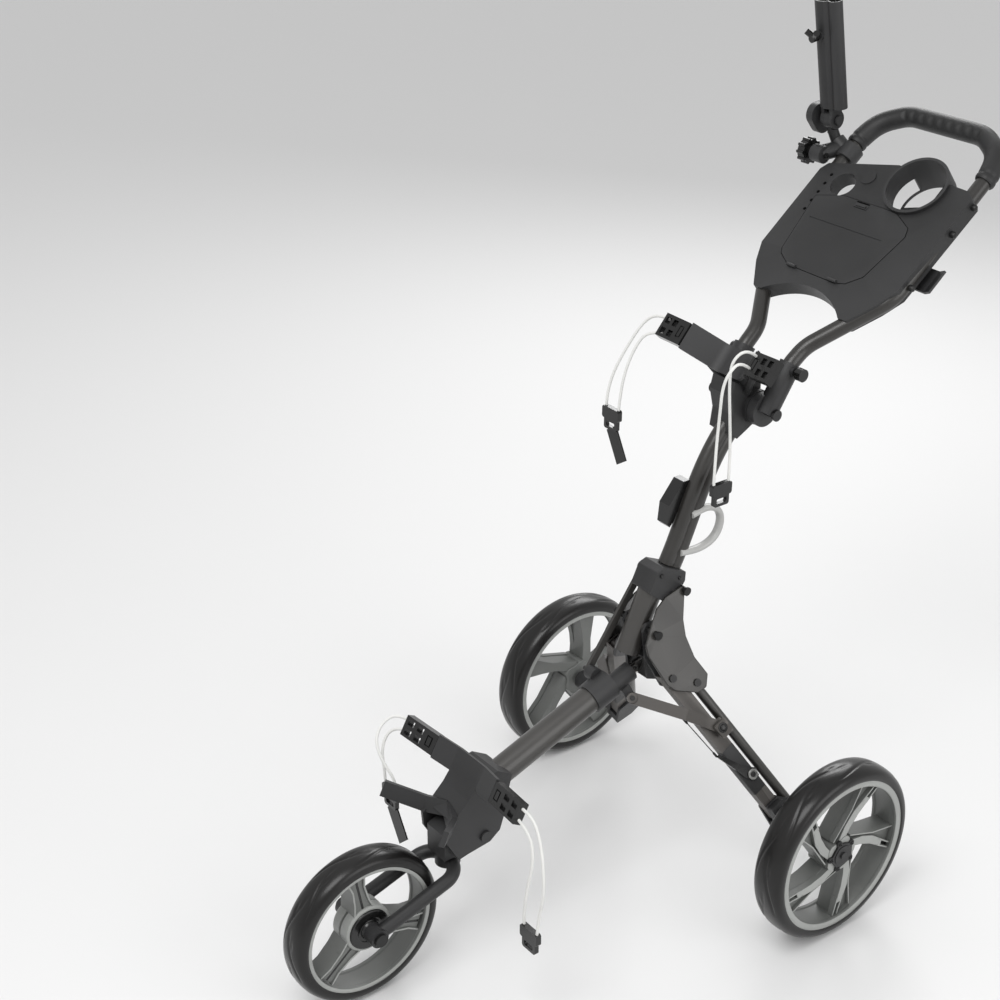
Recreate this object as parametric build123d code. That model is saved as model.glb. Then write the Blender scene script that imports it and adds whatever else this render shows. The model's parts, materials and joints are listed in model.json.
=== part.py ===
"""Three-wheeled golf push trolley, open for use.

Millimetres.  +X is the right-hand side when facing the front, -Y is forward
and +Z is up.  The design frame has the rear axle at Y = 0 and the floor at
Z = 0; every piece is moved by FRAME_SHIFT on export, so that the written
frame has its origin under the middle of the trolley's box.
"""
from build123d import *
import math
import os

# ---------------------------------------------------------------- driving dimensions
FRAME_SHIFT = 133.55         # moves the design frame's Y to the written frame

REAR_R = 146.0               # rear wheel radius
REAR_X = 318.4               # rear wheel centre, sideways
REAR_W = 55.0                # rear tyre width
REAR_RIM_R = 128.5
FRONT_R = 120.4              # front wheel radius
FRONT_W = 50.0
FRONT_RIM_R = 103.3
FRONT_AXLE = (0, -636.0, 120.4)

SLIDE_DEG = 20.0             # slope of the lower tube and its slide
TUBE_R = 21.0                # lower tube, outside
TUBE_WALL = 2.0
ROD_R = 10.0                 # polished guide rod
ROD_DROP = 8.0               # rod axis below the tube axis
KNEE_R = 19.0
RUN = 0.05                   # running clearance of a pin in its hole

MAST_PIVOT = (0, -130.0, 438.0)
LATCH_PIN = (0, -64.5, 487.5)
LINK_TOP = (0, -99.0, 514.0)
LINK_FOOT = (0, -203.0, 368.0)
BARREL = (0, 68.0, 757.0)    # handle hinge
BARREL_R = 27.0
NOSE_PIVOT = (0, -441.0, 201.0)
SWIVEL_Y = -486.0            # upright swivel axis of the front fork

PLATE_TILT = 26.5            # outward lean of the side plates
PLATE_T = 4.0
LEG_DEPTH = 14.0             # leg centre below the outer face of the plate
LEG_ALONG = (38.1, 279.3)    # leg pivot to carrier pivot, in the plate's plane
ROD_OFFSET = (31.3, 30.6)    # leg pivot to outer rod's pivot
LEG_W = 24.0
LEG_H = 16.0

HANDLE_DEG = 39.5            # slope of the handle and console
HANDLE_FOOT = (0, 108.7, 822.7)
HANDLE_R = 12.5
RAIL_X = 131.0               # half distance between the handle's side rails
GRIP_R = 16.5

CORD_R = 2.25

# ---------------------------------------------------------------- frames
COS_S = math.cos(math.radians(SLIDE_DEG))
SIN_S = math.sin(math.radians(SLIDE_DEG))
T = Vector(0, COS_S, SIN_S)                       # along the slide, rearward
W = Vector(0, -SIN_S, COS_S)                      # square to it, upward
COS_P = math.cos(math.radians(PLATE_TILT))
SIN_P = math.sin(math.radians(PLATE_TILT))
N = Vector(1, 0, 0) * COS_P + W * SIN_P           # outward normal of the right plate
L = Vector(1, 0, 0) * SIN_P - W * COS_P           # down the right plate
PLATE_O = Vector(75, -121.2, 372.6)               # leg pivot on the plate's face
LEG_O = PLATE_O - N * LEG_DEPTH                   # leg pivot, middle of the leg
ROD_O = Vector(0, -197.3, 337.7)                  # a point on the guide rod's axis
TUBE_O = ROD_O + W * ROD_DROP                     # the same place on the tube's axis

H_DIR = Vector(0, math.cos(math.radians(HANDLE_DEG)), math.sin(math.radians(HANDLE_DEG)))
H_NORM = Vector(0, -H_DIR.Z, H_DIR.Y)


def plate_point(t, l, n=0.0):
    """A point by its place on the right leg's mid plane: along T, L and N."""
    return LEG_O + T * t + L * l + N * n


def plate_plane(n):
    """Sketch plane parallel to the right side plate; x is T, y is -L."""
    return Plane(origin=LEG_O + N * n, x_dir=T, z_dir=N)


def rod_point(s):
    return ROD_O + T * s


def tube_point(s):
    return TUBE_O + T * s


def hp(x, s, n=0.0):
    """A point in the handle's plane: across, up the slope and square to it."""
    foot = Vector(*HANDLE_FOOT)
    return foot + Vector(x, 0, 0) + H_DIR * s + H_NORM * n


def handle_plane(n):
    return Plane(origin=hp(0, 0, n), x_dir=(1, 0, 0), z_dir=H_NORM)


# ---------------------------------------------------------------- helpers
def rod(a, b, r):
    """Solid round bar from a to b."""
    a = Vector(*a)
    b = Vector(*b)
    plane = Plane(origin=a, z_dir=b - a)
    return extrude(plane * Circle(r), amount=(b - a).length)


def disc(centre, axis, r, thick):
    """Round plate centred on a point."""
    axis = Vector(*axis).normalized()
    centre = Vector(*centre)
    return rod(centre - axis * (thick / 2), centre + axis * (thick / 2), r)


def x_bar(y, z, x0, x1, r):
    """Round bar along X."""
    return rod((x0, y, z), (x1, y, z), r)


def side_plate(points, x0, x1):
    """Flat plate cut from a YZ outline, from x0 to x1."""
    plane = Plane(origin=(x0, 0, 0), x_dir=(0, 1, 0), z_dir=(1, 0, 0))
    return extrude(plane * make_face(Polyline(*points, close=True)), amount=x1 - x0)


def flat(plane, points, thick, corner=0.0):
    """Plate on a sketch plane, with its outline's corners rounded."""
    face = make_face(Polyline(*points, close=True))
    if corner:
        face = fillet(face.vertices(), corner)
    return extrude(plane * face, amount=thick)


def swept(points, r, bend, bore=0.0):
    """Round tube along straight runs joined by bends."""
    path = FilletPolyline(*points, radius=bend) if len(points) > 2 else Line(*points)
    plane = Plane(origin=path @ 0, z_dir=path % 0)
    body = sweep(plane * Circle(r), path=path)
    if bore:
        body -= sweep(plane * Circle(bore), path=path)
    return body


def both(part):
    """The right-hand part and its mirror image."""
    return [part, mirror(part, about=Plane.YZ)]


def ring(centre, axis, outer, inner, thick):
    return disc(centre, axis, outer, thick) - disc(centre, axis, inner, thick + 2)


nodes = {}


def add(name, part):
    nodes[name] = part


def add_pair(name, part):
    """A right-hand node and its left-hand mirror."""
    right, left = both(part)
    nodes[name + "_right"] = right
    nodes[name + "_left"] = left


# ---------------------------------------------------------------- chassis
ROD_FRONT = -186.0           # ends of the guide rod along the slide
ROD_REAR = 112.0
WEB_IN = 20.5                # side webs beside the knee tube
WEB_OUT = 25.0


def hub_casting():
    """Block that holds the guide rod, with webs up to the mast pivot."""
    lower = [(-128, 350), (-98, 338), (-60, 352), (-46, 388), (-72, 402), (-97, 390), (-122, 378)]
    body = side_plate(lower, -WEB_OUT, WEB_OUT)
    web = [(-141, 436), (-134, 449), (-122, 449), (-112, 438), (-60, 402), (-50, 380), (-100, 342),
           (-128, 352)]
    for x0, x1 in ((WEB_IN, WEB_OUT), (-WEB_OUT, -WEB_IN)):
        body += side_plate(web, x0, x1)
    bracket = [(0, 64), (-12, 46), (-13, -6), (18, -42), (44, -46), (48, -2), (40, 64)]
    arm = flat(plate_plane(-LEG_H / 2 - 5.5), bracket, 5.0, 4)
    for piece in both(arm):
        body += piece
    y, z = MAST_PIVOT[1:]
    body -= x_bar(y, z, -60, 60, 5 + RUN)
    body -= rod(rod_point(ROD_FRONT), rod_point(ROD_REAR), ROD_R)
    for t, l in ((0, 0), ROD_OFFSET):
        hole = rod(plate_point(t, l, -40), plate_point(t, l, 30), 4 + RUN)
        for piece in both(hole):
            body -= piece
    return body


def gusset():
    """Right side plate: a kite with rounded corners and a turned-in rim."""
    outline = [(98.9, 106.5), (60, 109), (38, 103), (19, 90), (-10, 67), (-15, 52), (-12.9, -4),
               (-6.1, -19), (23.9, -44.7), (41.5, -46.7), (54.7, -31.1), (50.1, 3.9), (55.5, 39.5),
               (66, 63)]
    face = LEG_DEPTH
    plate = flat(plate_plane(face - PLATE_T), outline, PLATE_T, 5)
    plate = fillet(plate.faces().sort_by(Axis(origin=(0, 0, 0), direction=N))[-1].edges(), 1.4)
    for t, l in ((0, 0), ROD_OFFSET):
        plate -= rod(plate_point(t, l, face - 8), plate_point(t, l, face + 4), 4 + RUN)
    for y, z in (MAST_PIVOT[1:], LATCH_PIN[1:]):
        plate -= x_bar(y, z, 10, 70, 5 + RUN)
    return plate


def chassis_bolts():
    """Mast pivot bolt, latch pin and the four leg pivot bolts."""
    bolts = []
    for (y, z), reach in ((MAST_PIVOT[1:], 47.5), (LATCH_PIN[1:], 35.0)):
        bolt = x_bar(y, z, -reach, reach, 5)
        for side in (-1, 1):
            bolt += x_bar(y, z, side * reach, side * (reach + 3), 7)
        bolts.append(bolt)
    for t, l in ((0, 0), ROD_OFFSET):
        top = LEG_DEPTH
        bolt = rod(plate_point(t, l, -LEG_H / 2 - 8), plate_point(t, l, top + 0.2), 4)
        bolt += rod(plate_point(t, l, top + 0.2), plate_point(t, l, top + 3), 6)
        bolts += both(bolt)
    return Compound(children=bolts)


add("hub_casting", hub_casting())
add("guide_rod", rod(rod_point(ROD_FRONT), rod_point(ROD_REAR), ROD_R))
add_pair("side_plate", gusset())
add("chassis_bolts", chassis_bolts())

# ---------------------------------------------------------------- mast
KNEE = Vector(0, 0.424, 0.9057)                   # up the knee tube
KNEE_BACK = Vector(0, 0.9057, -0.424)             # square to it, rearward
COLLAR_O = Vector(0, -99.4, 505.0)
COLLAR_X = 22.0


def collar_point(m, k, x=0.0):
    return COLLAR_O + KNEE_BACK * m + KNEE * k + Vector(x, 0, 0)


def mast_path():
    """Middle line of the mast, a shallow arc leaning rearward."""
    return Spline((0, -71, 521), (0, -41.6, 584.8), (0, 0.2, 674.3), (0, 36, 722.5))


def mast_lobes(shrink=0.0):
    """Two round lobes side by side, front one larger."""
    path = mast_path()
    plane = Plane(origin=path @ 0, x_dir=(1, 0, 0), z_dir=path % 0)
    front = Pos(0, 6.5, 0) * Circle(14 - shrink)
    rear = Pos(0, -8, 0) * Circle(12.5 - shrink)
    waist = Rectangle(2 * (10.5 - shrink), 14)
    return sweep(plane * (front + rear + waist), path=path)


def mast_collar():
    """Casting that clamps the mast on the knee tube and hooks the latch pin."""
    outline = [(-23, -18), (-23, 16), (-12, 26), (36, 26), (42, 12), (40, -2), (34, -20), (16, -28)]
    plane = Plane(origin=COLLAR_O + Vector(-COLLAR_X, 0, 0), x_dir=KNEE_BACK, z_dir=(1, 0, 0))
    body = flat(plane, outline, 2 * COLLAR_X, 3)
    body += x_bar(LINK_TOP[1], LINK_TOP[2], -25, -COLLAR_X, 9)
    body -= rod(collar_point(0, -60), collar_point(0, 0), KNEE_R)
    body -= mast_lobes()
    y, z = LATCH_PIN[1:]
    body -= x_bar(y, z, -40, 40, 5.4)
    away = Vector(0, 0.603, -0.798)
    slot = Plane(origin=Vector(0, y, z), x_dir=away, z_dir=(1, 0, 0))
    body -= extrude(slot * Pos(20, 0) * Rectangle(40, 10.8), amount=40, both=True)
    return body


def knee_tube():
    """Lower mast tube, pivoted between the webs."""
    body = rod(collar_point(0, -121), collar_point(0, 0), KNEE_R)
    body -= rod(collar_point(0, -121), collar_point(0, 0), KNEE_R - 2)
    y, z = MAST_PIVOT[1:]
    body += x_bar(y, z, -KNEE_R - 1, KNEE_R + 1, 9)
    body -= disc(collar_point(0, -140), KNEE, 60, 36)
    body -= x_bar(y, z, -40, 40, 5 + RUN)
    return body


# cradle frames: origin, up along the bag, forward out of the cradle
UPPER_O = Vector(0, 42, 824)
UPPER_A = Vector(0, 0.643, 0.766)
LOWER_O = Vector(0, -449.5, 306)
LOWER_A = Vector(0, 0.48, 0.877)


def cradle_band(origin, along, points, bend, height, thick):
    """Curved strap: a path across the trolley, raised along the bag's axis."""
    plane = Plane(origin=origin - along * (height / 2), x_dir=(1, 0, 0), z_dir=along)
    outer = FilletPolyline(*points, radius=bend)
    face = plane * make_face(outer.edges() + offset_path(points, bend, thick).edges()
                             + end_lines(points, bend, thick))
    return extrude(face, amount=height)


def offset_path(points, bend, thick):
    moved = [(x, y + thick) for x, y in points]
    return FilletPolyline(*moved, radius=bend)


def end_lines(points, bend, thick):
    ends = []
    for x, y in (points[0], points[-1]):
        ends.append(Line((x, y), (x, y + thick)).edge())
    return ends


def clip_plate(origin, along, inner, outer, height, depth):
    """Buckle block at the right end of a cradle: four windows and a latch."""
    (x0, f0), (x1, f1) = inner, outer
    width = math.hypot(x1 - x0, f1 - f0)
    across = (Vector(1, 0, 0) * (x1 - x0) + along.cross(Vector(1, 0, 0)) * (f0 - f1)) / width
    forward = along.cross(Vector(1, 0, 0)) * -1
    start = origin + Vector(x0, 0, 0) + forward * f0
    normal = across.cross(along)
    plane = Plane(origin=start, x_dir=across, z_dir=normal)
    base = plane * Pos(width / 2, 0, -depth / 2) * Box(width, height, depth)
    for i in range(2):
        for j in range(2):
            at = Pos(width * (0.52 + 0.3 * i), height * (0.23 - 0.46 * j), -depth / 2)
            base -= plane * at * Box(width * 0.19, height * 0.27, depth + 2)
    base -= plane * Pos(width * 0.2, 0, 0) * Box(width * 0.17, height * 0.5, 5)
    base += plane * Pos(width * 0.2, 0, -1.2) * Box(width * 0.11, height * 0.4, 2.8)
    return base


UPPER_BAND = [(-70, -49), (-24, -3), (24, -3), (70, -49)]
UPPER_PLATE = ((70.5, 52.5), (119, 57))
LOWER_BAND = [(-71, -8.5), (-30, 0), (30, 0), (71, -8.5)]
LOWER_PLATE = ((71.5, 8.5), (140.6, 17.7))


def upper_cradle():
    """Bag cradle and the hinge barrel on top of the mast, one casting."""
    body = cradle_band(UPPER_O, UPPER_A, UPPER_BAND, 24, 44, 6)
    back = [(22, 806), (48, 790), (62, 782), (88, 770), (80, 738), (52, 722), (33, 712), (20, 722),
            (24, 752), (16, 784)]
    body += side_plate(back, -24, 24)
    spine = [(30, 776), (56, 838), (68, 832), (84, 790), (84, 760), (50, 745)]
    body += side_plate(spine, -16, 16)
    y, z = BARREL[1:]
    body += x_bar(y, z, -31, 31, BARREL_R)
    for side in (-1, 1):
        body += rod((side * 20, 50, 782), (side * 56, 26, 826), 6)
    body -= x_bar(y, z, -60, 60, 6 + RUN)
    body -= mast_lobes()
    return body


def clip_pair(origin, along, plate, height, depth):
    right = clip_plate(origin, along, plate[0], plate[1], height, depth)
    return Compound(children=both(right))


def pull_loop():
    """Soft carrying loop behind the foot of the mast."""
    points = [(10, -18, 602), (10, 4, 604), (10, 30, 580), (10, 26, 552), (10, 0, 532), (10, -24, 532)]
    return swept(points, 8, 13)


def mast_bumper():
    """Six-sided rubber pad standing off the front of the mast on two feet."""
    outline = [(-34, 652), (-46, 652), (-73, 619), (-76, 588), (-70, 582), (-62, 590)]
    pad = side_plate(outline, -26, -4)
    foot = rod((-14, -60, 604), (-10, -38, 606), 4)
    foot += rod((-14, -44, 642), (-10, -22, 636), 4)
    return pad + foot - mast_lobes()


add("knee_tube", knee_tube())
add("mast_collar", mast_collar())
add("mast_tube", mast_lobes())
add("upper_cradle", upper_cradle())
add("upper_clip_plates", clip_pair(UPPER_O, UPPER_A, UPPER_PLATE, 38, 16))
add("pull_loop", pull_loop() - nodes["mast_tube"] - nodes["mast_collar"])
add("mast_bumper", mast_bumper())

# ---------------------------------------------------------------- fold link
LINK_X = -30.5


def link_bar():
    """Flat bar from the mast collar to the sliding collar."""
    top = Vector(*LINK_TOP)
    foot = Vector(*LINK_FOOT)
    mid = (top + foot) / 2
    run = top - foot
    plane = Plane(origin=mid + Vector(LINK_X, 0, 0), x_dir=run.normalized(), z_dir=(1, 0, 0))
    bar = extrude(plane * SlotCenterToCenter(run.length, 12), amount=5)
    bar -= x_bar(foot.Y, foot.Z, -60, 0, 4 + RUN)
    bar += x_bar(top.Y, top.Z, LINK_X - 3.5, LINK_X + 1, 7)     # head of the upper rivet
    return bar


add("link_bar", link_bar())

# ---------------------------------------------------------------- sliding front frame
COLLAR_REAR = 17.0           # sliding collar's ends along the slide
COLLAR_FRONT = -24.0
SLEEVE_REAR = 59.0
TUBE_FRONT = -248.0
STRUT_FOOT = Vector(30, -162.4, 331)
STRUT_EAR = (26.0, 111.6, 13.8)
STRUT_TURN = Vector(0.7272, -0.4727, 0.4977)   # axis the brace turns about as the legs fold
EAR_BELOW = 4.6              # open pivot's gap below and above the brace's middle
EAR_ABOVE = 5.4


def front_tube():
    body = rod(tube_point(TUBE_FRONT), tube_point(-2), TUBE_R)
    return body - rod(tube_point(TUBE_FRONT), tube_point(-2), TUBE_R - TUBE_WALL)


def slide_collar():
    """Collar at the top of the tube, with the link's boss on its left."""
    body = rod(tube_point(COLLAR_FRONT), tube_point(COLLAR_REAR), TUBE_R + 3.5)
    y, z = LINK_FOOT[1:]
    body += x_bar(y, z, -25, -8, 11)
    body += x_bar(y, z, -36, -25, 4)
    body -= rod(tube_point(TUBE_FRONT), tube_point(-2), TUBE_R)
    body -= rod(rod_point(ROD_FRONT), rod_point(90), ROD_R + RUN)
    return body


def strut_frame():
    """Directions along the strut and square to its flat face."""
    foot = STRUT_FOOT - LEG_O
    foot_t = foot.dot(T)
    foot_l = foot.dot(L)
    foot_n = foot.dot(N)
    end_t, end_l, end_n = STRUT_EAR
    reach = math.hypot(end_t - foot_t, end_l - foot_l)
    e = (T * (end_t - foot_t) + L * (end_l - foot_l)) / reach
    return e, reach, foot_n, end_n


def strut():
    """Right brace: a flat bar, kinked to lie flat on the leg."""
    e, reach, foot_n, end_n = strut_frame()
    kink = 0.52 * reach
    rise = end_n - foot_n
    slope = math.atan2(rise, kink)
    half = 2.5
    plane = Plane(origin=STRUT_FOOT, x_dir=e, z_dir=e.cross(N))
    up = 1 if plane.y_dir.dot(N) > 0 else -1
    shift = half / math.cos(slope)
    profile = [(0, -up * shift), (kink, up * (rise - shift)), (reach, up * (rise - half)),
               (reach, up * (rise + half)), (kink, up * (rise + shift)), (0, up * shift)]
    bar = extrude(plane * make_face(Polyline(*profile, close=True)), amount=9, both=True)
    bar += disc(STRUT_FOOT, STRUT_TURN, 8, 13)
    bar += disc(plate_point(*STRUT_EAR), N, 9, 5)
    return bar - disc(STRUT_FOOT, STRUT_TURN, 4 + RUN, 40)


def slide_sleeve():
    """Sleeve on the guide rod, with a lug each side for the braces."""
    body = rod(rod_point(COLLAR_REAR + 0.5), rod_point(SLEEVE_REAR), 15.5)
    seat = STRUT_FOOT - STRUT_TURN * 9.9
    lug = disc(seat, STRUT_TURN, 9, 6) + rod(rod_point(38), seat, 8)
    lug -= rod(STRUT_FOOT - STRUT_TURN * 6.8, STRUT_FOOT + STRUT_TURN * 18, 24)
    lug += disc(STRUT_FOOT, STRUT_TURN, 4, 20)
    for piece in both(lug):
        body += piece
    body -= rod(rod_point(ROD_FRONT), rod_point(90), ROD_R + RUN)
    return body


def lower_cradle():
    """Lower bag cradle, tube socket and the two rounded nose plates."""
    body = cradle_band(LOWER_O, LOWER_A, LOWER_BAND, 40, 37, 6)
    housing = [(-399, 262), (-392, 290), (-418, 306), (-452, 300), (-470, 276), (-498, 249),
               (-470, 246), (-420, 236)]
    body += side_plate(housing, -32, 32)
    rounded = [(-510, 239), (-497, 248), (-466, 250), (-414, 240), (-406, 224), (-414, 200),
               (-432, 187), (-472, 182), (-488, 179), (-508, 216)]
    for x0, x1 in ((27, 32), (-32, -27)):
        body += side_plate(rounded, x0, x1)
    body -= rod(tube_point(TUBE_FRONT), tube_point(-150), TUBE_R)
    y, z = NOSE_PIVOT[1:]
    body -= x_bar(y, z, -60, 60, 6 + RUN)
    return body


def bag_foot():
    """V-shaped rest for the foot of the bag, an arm to each side."""
    root = Vector(34, -500, 240)
    tip = Vector(78, -545, 270)
    body = None
    for side in (1, -1):
        a = Vector(0, -484, 252)
        b = Vector(side * root.X, root.Y, root.Z + 8)
        c = Vector(side * tip.X, tip.Y, tip.Z)
        path = Polyline(a, b, c)
        plane = Plane(origin=a, x_dir=(0, 0.35, 0.94), z_dir=b - a)
        arm = sweep(plane * Rectangle(24, 8), path=path, transition=Transition.RIGHT)
        body = arm if body is None else body + arm
    return body


add("front_tube", front_tube())
add("slide_collar", slide_collar())
add("slide_sleeve", slide_sleeve())
add_pair("strut", strut())
add("lower_cradle", lower_cradle())
add("lower_clip_plates", clip_pair(LOWER_O, LOWER_A, LOWER_PLATE, 32, 14))
add("bag_foot", bag_foot() - nodes["lower_cradle"])

# ---------------------------------------------------------------- nose and front fork
FORK_X = 38.0
FORK_R = 10.5
CROWN_Z = 166.0


def nose_block():
    """Folding nose between the rounded plates, with the fork's socket."""
    y, z = NOSE_PIVOT[1:]
    outline = [(-430, 190), (-452, 190), (-466, 180), (-506, 178), (-506, 222), (-484, 231),
               (-456, 226), (-432, 214)]
    body = side_plate(outline, -22, 22)
    body += x_bar(y, z, -26.5, 26.5, 13)
    body += x_bar(y, z, -36, 36, 6)
    for side in (-1, 1):
        body += x_bar(y, z, side * 33, side * 36, 9)
    body += rod((0, SWIVEL_Y, 177), (0, SWIVEL_Y, 216), 18.5)
    body -= rod((0, SWIVEL_Y, 170), (0, SWIVEL_Y, 206), 8 + RUN)
    return body


def front_fork():
    """Swivel stem, crown and two bent arms down to the axle."""
    body = rod((0, SWIVEL_Y, CROWN_Z), (0, SWIVEL_Y, 204), 8)
    body += rod((0, SWIVEL_Y, CROWN_Z - 8), (0, SWIVEL_Y, 176), 19)
    axle_y, axle_z = FRONT_AXLE[1:]
    for side in (-1, 1):
        points = [(0, SWIVEL_Y, CROWN_Z), (side * FORK_X, SWIVEL_Y - 8, CROWN_Z - 3),
                  (side * FORK_X, axle_y, axle_z)]
        body += swept(points, FORK_R, 28)
        body += x_bar(axle_y, axle_z, side * (FORK_X - 11), side * (FORK_X + 11), 14)
    body -= x_bar(axle_y, axle_z, -60, 60, 6 + RUN)
    return body


def front_axle():
    y, z = FRONT_AXLE[1:]
    body = x_bar(y, z, -FORK_X - 14, FORK_X + 14, 6)
    for side in (-1, 1):
        body += x_bar(y, z, side * (FORK_X + 11.3), side * (FORK_X + 16), 10)
    return body


def tyre(centre, outer, inner, width):
    """Rounded tyre section turned about the axle."""
    crown = outer - inner
    half = width / 2
    section = Polyline((half - 1, 0), (half, crown * 0.5), (half - 9, crown - 2.2), (0, crown),
                       (9 - half, crown - 2.2), (-half, crown * 0.5), (1 - half, 0), close=True)
    face = Plane(origin=centre, x_dir=(1, 0, 0), z_dir=(0, -1, 0)) * Pos(0, inner) * make_face(section)
    return revolve(face, axis=Axis(origin=centre, direction=(1, 0, 0)))


def wheel(centre, rim, width, hub_r, spokes, spoke_w, bore):
    """Rim, hub and spokes in one moulding."""
    x, y, z = centre
    along = Vector(1, 0, 0)
    body = ring(centre, along, rim, rim - 8, width - 2)
    body += ring(centre, along, rim - 7, rim - 12, width - 10)
    body += disc(centre, along, hub_r, width - 8)
    for k in range(spokes):
        a = 2 * math.pi * k / spokes + 0.3
        out = Vector(0, math.cos(a), math.sin(a))
        plane = Plane(origin=Vector(*centre) + out * (hub_r - 3), x_dir=out, z_dir=(1, 0, 0))
        reach = rim - 8 - hub_r
        arm = [(0, spoke_w * 0.4), (reach, spoke_w), (reach, -spoke_w * 0.75), (0, -spoke_w * 0.5)]
        body += extrude(plane * make_face(Polyline(*arm, close=True)), amount=width * 0.36, both=True)
    return body - disc(centre, along, bore, width + 4)


add("nose_block", nose_block())
add("front_fork", front_fork())
add("front_axle", front_axle())
add("front_rim", wheel(FRONT_AXLE, FRONT_RIM_R, FRONT_W, 20, 3, 17, 6 + RUN))
add("front_tyre", tyre(FRONT_AXLE, FRONT_R, FRONT_RIM_R, FRONT_W))

# ---------------------------------------------------------------- rear legs and wheels
AXLE_R = 6.0


def leg_tube():
    """Right leg: square tube with the brace's ear welded on its outer face."""
    t, l = LEG_ALONG
    run = math.hypot(t, l)
    along = (T * t + L * l) / run
    across = N.cross(along)
    frame = Plane(origin=LEG_O - along * 13, x_dir=N, z_dir=along)
    length = run + 26
    body = extrude(frame * Rectangle(LEG_H, LEG_W), amount=length)
    body -= extrude(frame * Rectangle(LEG_H - 4, LEG_W - 4), amount=length)
    for start in (Vector(0, 0, 0), T * t + L * l):
        body += disc(LEG_O + start, N, 9, LEG_H)
    ear_t, ear_l, ear_n = STRUT_EAR
    face = LEG_H / 2
    outline = [(ear_t - 12, -ear_l + 10), (ear_t + 11, -ear_l + 12), (ear_t + 12, -ear_l),
               (ear_t + 12, -ear_l - 14), (ear_t - 8, -ear_l - 16)]
    body += flat(plate_plane(face - 0.5), outline, ear_n - EAR_BELOW - face + 0.5, 4)
    body += flat(plate_plane(ear_n + EAR_ABOVE), outline, 3.5, 4)
    back = [(ear_t + 1, -ear_l - 11.8), (ear_t + 12, -ear_l - 11), (ear_t + 12, -ear_l - 14),
            (ear_t + 1, -ear_l - 15)]
    body += flat(plate_plane(face - 0.5), back, ear_n + EAR_ABOVE + 3.5 - face + 0.5)
    head = ear_n + EAR_ABOVE
    body += rod(plate_point(ear_t, ear_l, head), plate_point(ear_t, ear_l, head + 5), 5)
    for start in (Vector(0, 0, 0), T * t + L * l):
        body -= disc(LEG_O + start, N, 4 + RUN, 60)
    return body


def leg_rod():
    """Outer rod of the right leg's parallel pair, flattened at both ends."""
    dt, dl = ROD_OFFSET
    t, l = LEG_ALONG
    a = plate_point(dt, dl)
    b = plate_point(dt + t, dl + l)
    body = rod(a, b, 8)
    for point in (a, b):
        body += disc(point, N, 10, 14)
    for point in (a, b):
        body -= disc(point, N, 4 + RUN, 40)
    return body


def wheel_carrier():
    """Right wheel carrier: a fork over both leg tubes and the axle boss."""
    t, l = LEG_ALONG
    dt, dl = ROD_OFFSET
    outline = [(t - 14, -l + 13), (t + 12, -l + 14), (t + dt + 13, -l - dl + 12),
               (t + dt + 13, -l - dl - 10), (t + 22, -l - 50), (t - 14, -l - 40)]
    face = LEG_H / 2
    body = flat(plate_plane(face + 0.5), outline, 4.5, 5)
    body += flat(plate_plane(-face - 5), outline, 4.5, 5)
    end = [(t - 13, -l - 20), (t + 17, -l - 22), (t + 22, -l - 50), (t - 13, -l - 39)]
    body += flat(plate_plane(-face - 1), end, 2 * face + 3)
    pillar = [(t - 14, -l + 10), (t + 13, -l + 10), (t + 13, -l - 26), (t - 14, -l - 26)]
    body += flat(plate_plane(face + 1), pillar, 16, 3)
    body += x_bar(0, REAR_R, 219, REAR_X - 30, 16)
    body += x_bar(0, REAR_R, 219, REAR_X + 27, AXLE_R)
    for a, b in ((t, l), (t + dt, l + dl)):
        body += rod(plate_point(a, b, -face - 3), plate_point(a, b, face + 3), 4)
    return body


BRAKE_PIVOT = (33.0, 208.4)


def brake_arm():
    """Right brake arm on the leg's outer face, with the cable's hook."""
    t, l = BRAKE_PIVOT
    outline = [(t - 36, -l + 60), (t - 30, -l + 61), (t - 8, -l + 22), (t + 9, -l + 6),
               (t + 9, -l - 8), (t - 4, -l - 11), (t - 14, -l + 4), (t - 19, -l + 20)]
    body = flat(plate_plane(LEG_H / 2 + 0.4), outline, 4)
    body += rod(plate_point(t, l, LEG_H / 2 + 0.4), plate_point(t, l, LEG_H / 2 + 5.5), 9)
    return body


def rear_centre():
    return (REAR_X, 0, REAR_R)


add_pair("leg_tube", leg_tube())
add_pair("leg_rod", leg_rod())
add_pair("wheel_carrier", wheel_carrier())
add_pair("brake_arm", brake_arm())
add_pair("rear_rim", wheel(rear_centre(), REAR_RIM_R, REAR_W, 24, 5, 11, AXLE_R + RUN))
add_pair("rear_tyre", tyre(rear_centre(), REAR_R, REAR_RIM_R, REAR_W))

# ---------------------------------------------------------------- handle
GRIP_S = 392.0               # where the grip starts, up the slope
LOOP_FIRST = 5               # first path point of the loop
HANDLE_BEND = 60.0


def handle_points():
    right = [hp(49, -56, -18.2), hp(49, 0), hp(51, 36), hp(90, 97), hp(RAIL_X, 160),
             hp(RAIL_X, 404), hp(121, 444), hp(76, 472)]
    left = [Vector(-p.X, p.Y, p.Z) for p in reversed(right)]
    return right + left


def handle_tube():
    return swept(handle_points(), HANDLE_R, HANDLE_BEND, HANDLE_R - 1.6)


def grip():
    """Rubber sleeve over the handle's loop."""
    start = hp(RAIL_X, GRIP_S)
    loop = handle_points()[LOOP_FIRST:-LOOP_FIRST]
    path = [start] + loop + [Vector(-start.X, start.Y, start.Z)]
    return swept(path, GRIP_R, HANDLE_BEND) - swept(handle_points(), HANDLE_R, HANDLE_BEND)


KNOB_SEAT = (102.5, 817.6)   # lock knob's axis on the sleeve
KNOB_FACE = 68.0


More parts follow.
